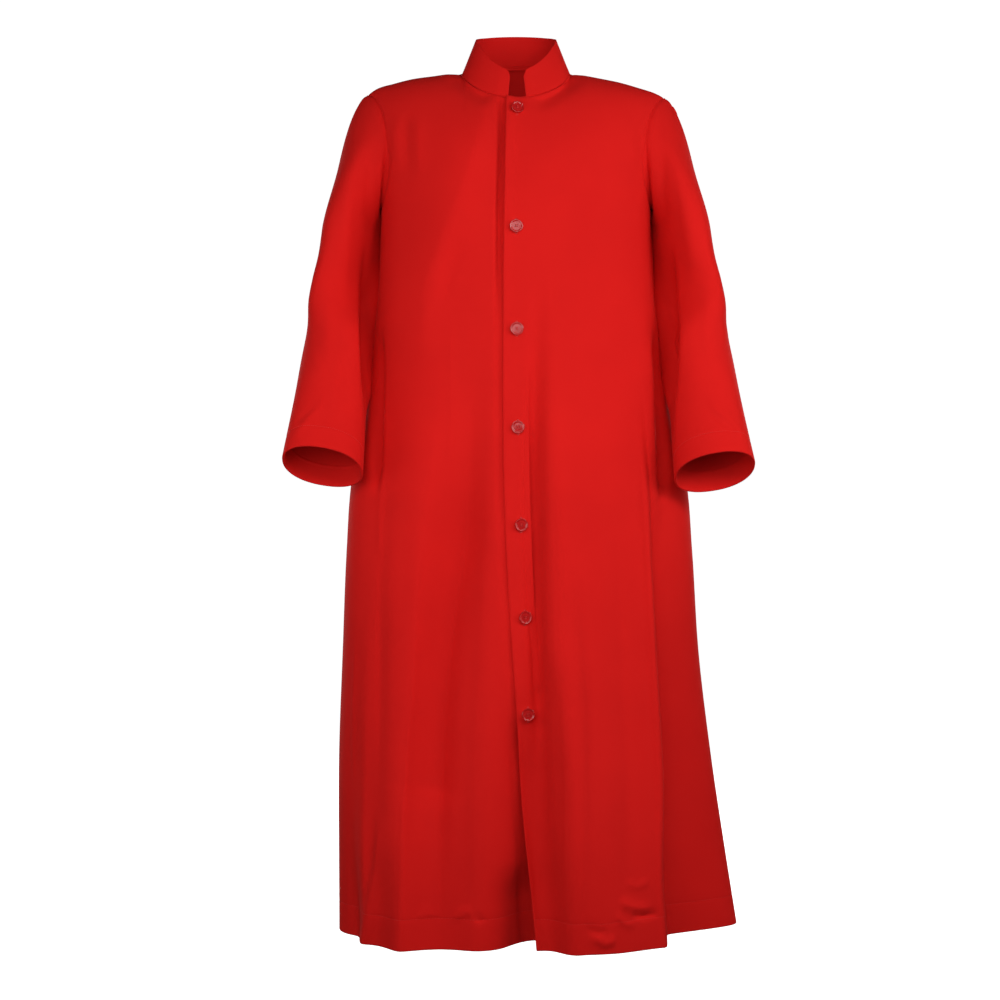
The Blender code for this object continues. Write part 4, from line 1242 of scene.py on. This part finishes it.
@dataclass
class Sleeve:
    """A set-in sleeve: a head lofted from the armhole, and the arm's own sections down to the cuff."""

    side: Side
    body: Body
    cap_rows: int = 34
    arm_rows: int = 78
    square: float = 2.2
    left_swing: float = 0.006
    left_drop: float = 0.008
    cap_pull: float = 0.55
    cap_out: float = 0.84
    cap_down: float = 0.54
    cap_underarm: float = 3.0
    underarm_run: float = 0.12
    arm_run: float = 0.17
    cuff_depth: float = 32 * MM
    seam_sink: float = 0.7 * MM
    head_swell: float = 0.8 * MM
    inner_fill: float = 9 * MM        # how far the inner back hangs in towards the body
    inner_top: float = -0.200
    inner_foot: float = -0.560
    inner_place: float = 0.24         # share of the back half from the underarm
    inner_width: float = 0.12
    blend_start: float = 0.02         # where the back's creases take over from the front's
    blend: float = 0.2
    seam_width: float = 1.8 * MM
    swell_drop: float = 9 * MM        # the head's swell below the armhole seam
    swell_width: float = 7 * MM
    allowance_rows: int = field(init=False)
    sheet: Sheet = field(init=False)

    def ring(self, z: float, shares: Sequence[np.ndarray]) -> np.ndarray:
        """One section, from its outer side round the front, the inner side and the back.

        Args:
            z: its height in the table of sections.
            shares: its points' shares of the front half's and the back half's length.

        Returns:
            The section's points.
        """
        x, y, half_x, half_y, tilt, toe, cant = (
            float(along(ARM, "z", column, z)) for column in ("x", "y", "half_x", "half_y", "tilt", "toe", "cant"))
        down = (ARM[-1].z - z) / (ARM[-1].z - ARM[0].z)
        if self.side is Side.LEFT:
            x -= self.left_swing * down
            z -= self.left_drop * down
        lean = math.radians(tilt)
        halves = []
        for start, share in zip((0.0, math.pi), shares):
            angle = np.linspace(start, start + math.pi, self.body.form.fine)
            ahead = half_y * signed_power(np.sin(angle), 2 / self.square)
            inward = -signed_power(np.cos(angle), 2 / self.square)
            path = np.stack([x + half_x * inward - toe * ahead / half_y,
                             y - ahead * math.cos(lean),
                             z + ahead * math.sin(lean) - cant * inward], axis=-1)
            halves.append(at_lengths(path, share * path_length(path)[-1])[:-1])
        points = np.concatenate(halves)
        points[:, 0] *= -self.side.value
        return points

    def __post_init__(self) -> None:
        """Cut the sleeve to its armhole."""
        s, form, count = self.side.value, self.body.form, self.body.dome_rows
        points, normals, towards = self.body.armhole(self.side)
        closed = np.concatenate([points, points[:1]])
        shares = []
        for half in (closed[:count + 1], closed[count:]):
            length = path_length(half)
            shares.append(length / length[-1])
        even = (graded(count, close_end=True), graded(count, close_start=True))
        top = points + np.array([s * form.seam_gap, 0.0, 0.0])
        upper = self.ring(ARM[-1].z, shares)
        place = np.concatenate([shares[0][:-1], 1 + shares[1][:-1]]) * math.pi
        inner = ((1 - np.cos(place))[:, None] / 2) ** self.cap_underarm
        head = np.array([s * self.cap_out, 0.0, -self.cap_down])
        underarm = np.array([s * self.underarm_run, 0.0, -1.0])
        start = unit((1 - inner) * head + inner * underarm)
        finish = unit(np.array([s * self.arm_run, 0.0, -1.0]))
        reach = np.linalg.norm(upper - top, axis=1, keepdims=True)

        def loft(t: float) -> np.ndarray:
            """The head's ring at one share of its length."""
            return cubic(t, top, reach * start * self.cap_pull, upper, reach * finish)

        chord = unit(loft(0.07) - loft(0.0))
        turn = np.clip(-(chord * normals).sum(axis=1, keepdims=True), 0.0, 0.9)
        push = chord * form.wall * turn / np.sqrt(1 - turn**2)
        rings = [points - normals * inside * MM - towards * back * MM
                 for inside, back in SLEEVE_ALLOWANCE]
        self.allowance_rows = len(rings)
        rings += [loft(float(t)) + push * (1 - ease(t / 0.2))
                  for t in graded(self.cap_rows, close_start=True)]
        for step, z in enumerate(np.linspace(ARM[-1].z, ARM[0].z, self.arm_rows + 1)[1:], start=1):
            settle = ease(2.0 * step / self.arm_rows)
            here = [(1 - settle) * share + settle * calm for share, calm in zip(shares, even)]
            rings.append(self.ring(float(z), here))
        name = "cassock_sleeve_right" if self.side is Side.RIGHT else "cassock_sleeve_left"
        self.sheet = Sheet(name, np.array(rings)[::-1], ring=True, flip=self.side is Side.LEFT)

    def crease(self) -> None:
        """Lay the creases, the slack and the seams into the sleeve."""
        sheet, s = self.sheet, self.side.value
        x, z = sheet.grid[..., 0], sheet.grid[..., 2]
        underarm = self.body.dome_rows
        behind = (np.arange(sheet.grid.shape[1]) - underarm) / underarm
        back = ease((behind - self.blend_start) / self.blend) * ease((1.0 - behind) / self.blend)
        creases = RIGHT_SLEEVE_CREASES if self.side is Side.RIGHT else LEFT_SLEEVE_CREASES
        lift = (crease_height(creases, x, z) * (1.0 - back)
                + crease_height(SLEEVE_BACK_CREASES, x * s, z) * back)
        lift = lift + self.body.slack_height * slack(sheet.grid[..., 1] * 1.3 + x, z, 2.0 + s)
        up = sheet.up()
        below = up[-1 - self.allowance_rows] - up
        lift = lift * ease(below / self.body.seam_reach)
        beside = np.abs(sheet.across() - sheet.across()[:, underarm:underarm + 1])
        groove = np.exp(-(below / self.body.groove_width) ** 2)
        seam = np.exp(-(beside / self.seam_width) ** 2)
        height = ease((self.inner_top - z) / 0.05) * ease((z - self.inner_foot) / 0.06)
        lift = lift + self.inner_fill * height * np.exp(-((behind - self.inner_place) / self.inner_width) ** 2)
        swell = self.head_swell * np.exp(-((below - self.swell_drop) / self.swell_width) ** 2)
        armpit = self.body.armpit(z) * np.exp(-(np.maximum(below, 0.0) / self.body.armpit_width) ** 2)
        move = (lift + swell - self.body.groove_depth * groove - self.seam_sink * seam
                - self.body.armpit_depth * armpit)
        sheet.move(np.where(below < 0.0, 0.0, move))

    def cuff(self) -> tuple[np.ndarray, np.ndarray]:
        """Turn the cuff up inside; the line of its stitches and the outward direction there are returned."""
        sheet = self.sheet
        sheet.refine(self.cuff_depth)
        pull = np.exp(-((sheet.up() - self.cuff_depth) / self.body.pull_width) ** 2)
        sheet.move(-self.body.stitch_sink * pull)
        points, outward = sheet.line_at(self.cuff_depth)
        sheet.turn_up(self.cuff_depth, self.body.form.wall, self.body.turn_gap, 0.0)
        return np.concatenate([points, points[:1]]), np.concatenate([outward, outward[:1]])


@dataclass
class Collar:
    """A stand-up collar in one band, with two rounded front corners and a gap between them."""

    body: Body
    right_end: float = -0.0131
    left_end: float = 0.0150
    base_y: float = 0.0635
    base_shift: float = -0.013
    top_x: float = 0.064
    top_y: float = 0.058
    top_shift: float = -0.010
    top_front_z: float = -0.008
    top_side_z: float = 0.054
    top_back_z: float = 0.072
    rows: int = 26
    end_cell: float = 0.0008
    corner: float = 11 * MM
    wall: float = 2.4 * MM
    sheet: Sheet = field(init=False)

    def __post_init__(self) -> None:
        """Cut the collar to the neckline."""
        form = self.body.form
        seam = self.body.neckline(self.right_end, self.left_end, self.end_cell)
        base = seam + np.array([0.0, 0.0, form.seam_gap])
        around = np.arctan2(base[:, 0] / form.neck_x, (self.base_shift - base[:, 1]) / self.base_y)
        facing = np.cos(around)
        top_z = np.where(
            facing > 0,
            self.top_side_z - (self.top_side_z - self.top_front_z) * np.abs(facing)**1.5,
            self.top_side_z + (self.top_back_z - self.top_side_z) * np.abs(facing))
        top = np.stack([self.top_x * np.sin(around), self.top_shift - self.top_y * facing, top_z], axis=-1)
        length = path_length(top)
        to_end = np.minimum(length, length[-1] - length)
        short = np.clip(self.corner - to_end, 0.0, self.corner)
        drop = self.corner - np.sqrt(np.clip(self.corner**2 - short**2, 0.0, None))
        height = np.linalg.norm(top - base, axis=-1)
        reach = 1.0 - drop / height
        steps = graded(self.rows, close_start=True, close_end=True)
        centre = np.array([0.0, self.base_shift, 0.0])
        inward = unit((centre - base) * np.array([1.0, 1.0, 0.0]))
        allowance = [base + inward * into * MM - np.array([0.0, 0.0, down * MM])
                     for down, into in COLLAR_ALLOWANCE]
        stand = [base + (top - base) * (step * reach)[:, None] for step in steps]
        self.sheet = Sheet("cassock_collar", np.array(allowance + stand), flip=True)


@dataclass
class Sewing:
    """Stitches: one capsule of thread, modelled once and laid along each line of sewing."""

    finish: bpy.types.Material
    length: float = 2.3 * MM
    radius: float = 0.28 * MM
    pitch: float = 3.2 * MM
    model: tuple[np.ndarray, list[tuple[int, ...]]] = field(init=False)

    def __post_init__(self) -> None:
        """Model one stitch, lying along x."""
        bpy.ops.object.select_all(action="DESELECT")
        bpy.ops.mesh.primitive_uv_sphere_add(segments=6, ring_count=4, radius=self.radius,
                                             rotation=(0.0, math.pi / 2, 0.0))
        bpy.ops.object.transform_apply(location=True, rotation=True, scale=True)
        stitch = bpy.context.object
        places = np.array([tuple(vertex.co) for vertex in stitch.data.vertices])
        places[:, 0] += np.sign(np.round(places[:, 0], 6)) * (self.length / 2 - self.radius)
        self.model = places, [tuple(face.vertices) for face in stitch.data.polygons]
        bpy.data.objects.remove(stitch)

    def lay(self, name: str, lines: Sequence[tuple[np.ndarray, np.ndarray]], pitch: float | None = None,
            skew: float = 0.0) -> bpy.types.Object:
        """Lay stitches along lines on the cloth.

        Args:
            name: the piece's name.
            lines: for each line, its points and the cloth's outward direction there.
            pitch: distance from stitch to stitch.
            skew: how far each stitch is turned from its line, in radians.

        Returns:
            All of the lines' stitches as one piece.
        """
        spots: list[tuple[np.ndarray, np.ndarray, np.ndarray]] = []
        for points, outward in lines:
            length = path_length(points)
            middles = np.arange(0.6 * (pitch or self.pitch), length[-1], pitch or self.pitch)
            at = at_lengths(points, middles)
            ahead = unit(at_lengths(points, middles + self.radius) - at_lengths(points, middles - self.radius))
            up = unit(np.stack([np.interp(middles, length, outward[:, axis]) for axis in range(3)], axis=-1))
            aside = unit(np.cross(up, ahead))
            ahead = unit(np.cross(aside, up))
            spots.extend(zip(at, ahead * math.cos(skew) + aside * math.sin(skew), up))
        return self.place(name, spots)

    def place(self, name: str, spots: Sequence[tuple[np.ndarray, np.ndarray, np.ndarray]]) -> bpy.types.Object:
        """Lay one stitch at each spot.

        Args:
            name: the piece's name.
            spots: for each stitch its middle, its direction and the cloth's outward direction.

        Returns:
            All of the stitches as one piece.
        """
        places, kinds = self.model
        corners, faces = [], []
        for number, (spot, ahead, up) in enumerate(spots):
            aside = np.cross(up, ahead)
            corners.append(spot + places[:, :1] * ahead + places[:, 1:2] * aside + places[:, 2:] * up)
            faces.extend([tuple(number * len(places) + corner for corner in face) for face in kinds])
        mesh = bpy.data.meshes.new(name)
        mesh.from_pydata(np.concatenate(corners).tolist(), [], faces)
        mesh.materials.append(self.finish)
        mesh.shade_smooth()
        piece = bpy.data.objects.new(name, mesh)
        bpy.context.scene.collection.objects.link(piece)
        return piece


@dataclass
class Button:
    """A four-hole button with a raised rim, sewn on with thread through its holes."""

    radius: float = 10.0 * MM
    height: float = 3.0 * MM
    rim: float = 1.6 * MM
    well: float = 1.1 * MM
    hole: float = 1.0 * MM
    hole_spread: float = 1.9 * MM
    seat: float = 0.4 * MM
    rounding: float = 0.45 * MM
    slope: float = 1.2 * MM
    floor_inset: float = 1.6 * MM
    floor_rise: float = 0.12 * MM
    back_inset: float = 1.5 * MM

    def build(self, name: str, finish: bpy.types.Material) -> bpy.types.Object:
        """Model one button, its back in the plane z = 0 and its face upwards.

        Args:
            name: the piece's name.
            finish: its plastic.

        Returns:
            The button at the origin.
        """
        bpy.ops.object.select_all(action="DESELECT")
        bpy.ops.mesh.primitive_cylinder_add(vertices=56, radius=self.radius, depth=self.height,
                                            location=(0.0, 0.0, self.height / 2))
        bpy.ops.object.transform_apply(location=True, rotation=False, scale=False)
        button = bpy.context.object
        button.name = button.data.name = name
        bpy.ops.object.mode_set(mode="EDIT")
        bpy.ops.mesh.select_mode(type="FACE")
        self.select_level(button, self.height)
        bpy.ops.mesh.inset(thickness=self.rim, depth=0.0)
        bpy.ops.mesh.inset(thickness=self.slope, depth=-self.well)
        bpy.ops.mesh.inset(thickness=self.floor_inset, depth=self.floor_rise)
        self.select_level(button, 0.0)
        bpy.ops.mesh.inset(thickness=self.back_inset, depth=0.0)
        bpy.ops.object.mode_set(mode="OBJECT")
        bevel = button.modifiers.new("rounding", "BEVEL")
        bevel.limit_method = "ANGLE"
        bevel.angle_limit = math.radians(28)
        bevel.width = self.rounding
        bevel.segments = 3
        drills = []
        for quarter in range(4):
            angle = math.radians(45 + 90 * quarter)
            bpy.ops.mesh.primitive_cylinder_add(
                vertices=14, radius=self.hole, depth=4 * self.height,
                location=(self.hole_spread * math.cos(angle), self.hole_spread * math.sin(angle), 0.0))
            drill = bpy.context.object
            drills.append(drill)
            cut = button.modifiers.new(f"hole_{quarter + 1}", "BOOLEAN")
            cut.operation = "DIFFERENCE"
            cut.solver = "EXACT"
            cut.object = drill
        apply_modifiers(button)
        for drill in drills:
            bpy.data.objects.remove(drill)
        button.data.materials.clear()
        button.data.materials.append(finish)
        select_only(button)
        bpy.ops.object.shade_smooth_by_angle(angle=math.radians(38))
        return button

    @staticmethod
    def select_level(piece: bpy.types.Object, z: float) -> None:
        """Select only the faces that lie flat at height z, in edit mode."""
        bpy.ops.mesh.select_all(action="DESELECT")
        bpy.ops.object.mode_set(mode="OBJECT")
        for face in piece.data.polygons:
            face.select = abs(face.center.z - z) < 0.01 * MM and abs(face.normal.z) > 0.99
        bpy.ops.object.mode_set(mode="EDIT")


@dataclass
class Fastening:
    """The buttons down the left front's edge, the thread in their holes, and the worked buttonholes under them."""

    body: Body
    button: Button
    finish: bpy.types.Material
    thread: bpy.types.Material
    hole_length: float = 23 * MM
    hole_half_width: float = 1.3 * MM
    hole_pitch: float = 0.75 * MM
    strands: int = 3
    strand_pitch: float = 0.42 * MM

    def seat(self, number: int) -> tuple[np.ndarray, np.ndarray, np.ndarray, np.ndarray]:
        """Where a button sits.

        Args:
            number: the button, from 0 at the top.

        Returns:
            The middle of its back, the directions across and up its face, and the direction that it faces.
        """
        x, z = BUTTON_PLACES[number]
        sheet = self.body.left
        flat = np.hypot(sheet.grid[..., 0] - x, sheet.grid[..., 2] - z)
        under = (flat < self.button.radius + 1 * MM) & (sheet.grid[..., 1] < 0.0)
        outward = unit(sheet.normals()[under].mean(axis=0))
        turn, nod = (math.radians(angle) for angle in BUTTON_LEANS[number])
        facing = unit(outward + np.array([math.sin(turn), 0.0, math.sin(nod)]))
        place = sheet.grid[under]
        middle = np.array([x, place[:, 1].mean(), z])
        clear = float(((place - middle) @ facing).max()) + self.button.seat
        across = unit(np.cross(np.array([0.0, 0.0, 1.0]), facing))
        return middle + facing * clear, across, np.cross(facing, across), facing

    def build(self) -> list[bpy.types.Object]:
        """Model one button and set a copy of it, with its own mesh, at each place."""
        model = self.button.build("button_model", self.finish)
        placed = []
        for number in range(len(BUTTON_PLACES)):
            middle, across, up, facing = self.seat(number)
            copy = bpy.data.objects.new(f"cassock_button_{number + 1}", model.data.copy())
            copy.data.name = copy.name
            axes = Matrix([[float(axis[row]) for axis in (across, up, facing)] for row in range(3)])
            copy.data.transform(Matrix.Translation(Vector(middle)) @ axes.to_4x4())
            bpy.context.scene.collection.objects.link(copy)
            placed.append(copy)
        bpy.data.objects.remove(model)
        return placed

    def sew_on(self, sewing: Sewing) -> bpy.types.Object:
        """Pass the thread across each button from hole to hole, in two bars."""
        spots = []
        reach = self.button.hole_spread * math.cos(math.radians(45))
        height = self.button.height - self.button.well + 0.15 * MM
        for number in range(len(BUTTON_PLACES)):
            middle, across, up, facing = self.seat(number)
            for row in (-reach, reach):
                for strand in range(self.strands):
                    beside = (strand - (self.strands - 1) / 2) * self.strand_pitch
                    spots.append((middle + up * (row + beside) + facing * height, across, facing))
        return sewing.place("cassock_button_thread", spots)

    def work_holes(self, sewing: Sewing) -> bpy.types.Object:
        """Work each buttonhole: satin stitches down both sides of its slit, and a bar across each end."""
        sheet = self.body.left
        outward = sheet.normals()
        spots = []
        for x, z in BUTTON_PLACES:
            drops = np.arange(-self.hole_length / 2, self.hole_length / 2, self.hole_pitch)
            satin = [(x + side * self.hole_half_width, z + drop) for side in (-1, 1) for drop in drops]
            bars = [(x + aside * MM, z + end * self.hole_length / 2)
                    for end in (-1, 1) for aside in (-1.0, -0.5, 0.0, 0.5, 1.0)]
            for kind, places in ((0, satin), (1, bars)):
                for across, height in places:
                    flat = np.hypot(sheet.grid[..., 0] - across, sheet.grid[..., 2] - height)
                    near = np.unravel_index(np.argmin(flat + (sheet.grid[..., 1] > 0)), flat.shape)
                    up = outward[near]
                    ahead = np.array([1.0, 0.0, 0.0]) if kind == 0 else np.array([0.0, 0.0, 1.0])
                    ahead = unit(ahead - up * (ahead @ up))
                    spot = np.array([across, 0.0, height])
                    spot[1] = sheet.grid[near][1] - ((spot - sheet.grid[near]) * up)[[0, 2]].sum() / up[1]
                    spots.append((spot, ahead, up))
        return sewing.place("cassock_buttonholes", spots)


@dataclass
class Cassock:
    """The whole garment."""

    twill: bpy.types.Material
    thread: bpy.types.Material
    plastic: bpy.types.Material
    body: Body = field(default_factory=Body)
    pieces: list[bpy.types.Object] = field(default_factory=list)

    def keep(self, piece: bpy.types.Object, slot: str, *nodes: str) -> bpy.types.Object:
        """Let a finished piece ride on the garment.

        Args:
            piece: the piece.
            slot: not used.
            nodes: the solids that it stands for.

        Returns:
            The piece.
        """
        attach(piece, "root")
        if nodes:
            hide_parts(*nodes)
        self.pieces.append(piece)
        LOG.info("%s: %d faces", piece.name, len(piece.data.polygons))
        return piece

    def keep_cloth(self, sheet: Sheet, wall: float, edge: float, node_name: str) -> None:
        """Build one sheet of cloth and keep it on the garment."""
        piece = self.keep(sheet.build(self.twill, wall, edge), "twill", node_name)
        width = float(sheet.across()[:, -1].max())
        if sheet.ring:
            width += float(np.linalg.norm(sheet.grid[:, 0] - sheet.grid[:, -1], axis=-1).max())


MIDDLE = (0.0, 0.0, -0.6)
LAMPS = (
    Lamp("key", (0.85, -1.55, 0.10), MIDDLE, 0.5, 7.0),
    Lamp("key_side", (1.7, -1.2, 0.20), MIDDLE, 0.6, 6.0),
    Lamp("front", (0.0, -1.6, 0.10), MIDDLE, 0.9, 5.3),
    Lamp("low_fill", (-0.45, -1.6, -0.65), MIDDLE, 0.9, 8.0),
    Lamp("fill", (-0.97, -1.08, -0.50), MIDDLE, 0.7, 2.0),
    Lamp("side_right", (-1.60, -0.45, -0.65), MIDDLE, 0.9, 3.8),
    Lamp("side_left", (1.37, -0.72, -0.45), MIDDLE, 0.9, 6.2),
    Lamp("neck", (0.1, -1.5, 1.2), (0.0, 0.0, 0.0), 0.3, 2.0),
    Lamp("inside", (0.0, -0.01, -0.17), (0.0, 0.07, -0.02), 0.06, 0.055),
    Lamp("back_right", (-1.5, 2.3, -0.2), MIDDLE, 1.2, 20.0),
    Lamp("back_left", (1.5, 2.3, -0.2), MIDDLE, 1.2, 20.0),
)


@dataclass
class Studio:
    """Pale floor and backdrop, soft light and the camera."""

    distance: float = 3.0
    eye: tuple[float, float] = (-0.0256, -0.68)
    half_view: float = 0.8
    floor_z: float = -1.50
    floor_radius: float = 11.5
    backdrop_radius: float = 12.0
    air: float = 0.035

    def build(self) -> None:
        """Set up the studio."""
        board = PaleBoard().material()
        bpy.ops.object.select_all(action="DESELECT")
        bpy.ops.mesh.primitive_circle_add(vertices=64, radius=self.floor_radius, fill_type="NGON",
                                          location=(0.0, 0.0, self.floor_z))
        self.show(bpy.context.object, "studio_floor", board)
        bpy.ops.object.select_all(action="DESELECT")
        bpy.ops.mesh.primitive_uv_sphere_add(segments=48, ring_count=24, radius=self.backdrop_radius)
        self.show(bpy.context.object, "studio_backdrop", board)
        world = bpy.data.worlds.new("studio_air")
        world.use_nodes = True
        air = world.node_tree.nodes["Background"]
        air.inputs["Color"].default_value = (1.0, 1.0, 1.0, 1.0)
        air.inputs["Strength"].default_value = self.air
        bpy.context.scene.world = world
        for lamp in LAMPS:
            self.hang(lamp)
        camera = bpy.data.objects.new("camera", bpy.data.cameras.new("camera"))
        camera.location = (self.eye[0], -self.distance, self.eye[1])
        camera.rotation_euler = (math.pi / 2, 0.0, 0.0)
        camera.data.sensor_fit = "HORIZONTAL"
        camera.data.angle = 2 * math.atan(self.half_view / self.distance)
        bpy.context.scene.collection.objects.link(camera)
        bpy.context.scene.camera = camera
        bpy.context.scene.view_settings.view_transform = "Standard"

    @staticmethod
    def show(piece: bpy.types.Object, name: str, board: bpy.types.Material) -> None:
        """Finish the floor or the backdrop; neither lights the garment."""
        piece.name = piece.data.name = name
        bpy.ops.object.transform_apply(location=True, rotation=True, scale=True)
        piece.data.materials.append(board)
        piece.visible_diffuse = False
        piece.visible_glossy = False
        piece.visible_shadow = False

    @staticmethod
    def hang(lamp: Lamp) -> None:
        """Hang one soft light."""
        data = bpy.data.lights.new(lamp.name, "AREA")
        data.energy, data.size = lamp.power, lamp.size
        light = bpy.data.objects.new(lamp.name, data)
        light.location = lamp.place
        light.rotation_euler = (Vector(lamp.aim) - Vector(lamp.place)).to_track_quat("-Z", "Y").to_euler()
        bpy.context.scene.collection.objects.link(light)


def main() -> None:
    """Dress the frame."""
    logging.basicConfig(level=logging.INFO, format="%(name)s: %(message)s")
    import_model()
    cassock = Cassock(Twill().material(), Thread().material(), ButtonPlastic().material())
    body = cassock.body
    sewing = Sewing(cassock.thread)
    sleeves = [Sleeve(side, body) for side in Side]
    body.sew()
    collar = Collar(body)
    body.crease()
    cassock.keep(body.hem(sewing), "twill")
    cuffs = []
    for sleeve in sleeves:
        sleeve.crease()
        cuffs.append(sleeve.cuff())
    cassock.keep(sewing.lay("cassock_cuff_stitches", cuffs), "twill")
    wall = body.form.wall
    cassock.keep_cloth(body.right, wall, body.edge, "right_front")
    cassock.keep_cloth(body.left, wall, body.edge, "left_front")
    cassock.keep_cloth(body.back, wall, body.edge, "back")
    for sleeve in sleeves:
        cassock.keep_cloth(sleeve.sheet, wall, body.edge,
                           "sleeve_right" if sleeve.side is Side.RIGHT else "sleeve_left")
    cassock.keep_cloth(collar.sheet, collar.wall, 1.0 * MM, "collar")
    fastening = Fastening(body, Button(), cassock.plastic, cassock.thread)
    for number, button in enumerate(fastening.build(), start=1):
        cassock.keep(button, "button_plastic", f"button_{number}")
    cassock.keep(fastening.sew_on(Sewing(cassock.thread, length=3.3 * MM, radius=0.26 * MM)), "twill")
    cassock.keep(fastening.work_holes(Sewing(cassock.thread, length=2.0 * MM, radius=0.26 * MM)), "twill")
    Studio().build()


if __name__ == "__main__":
    main()
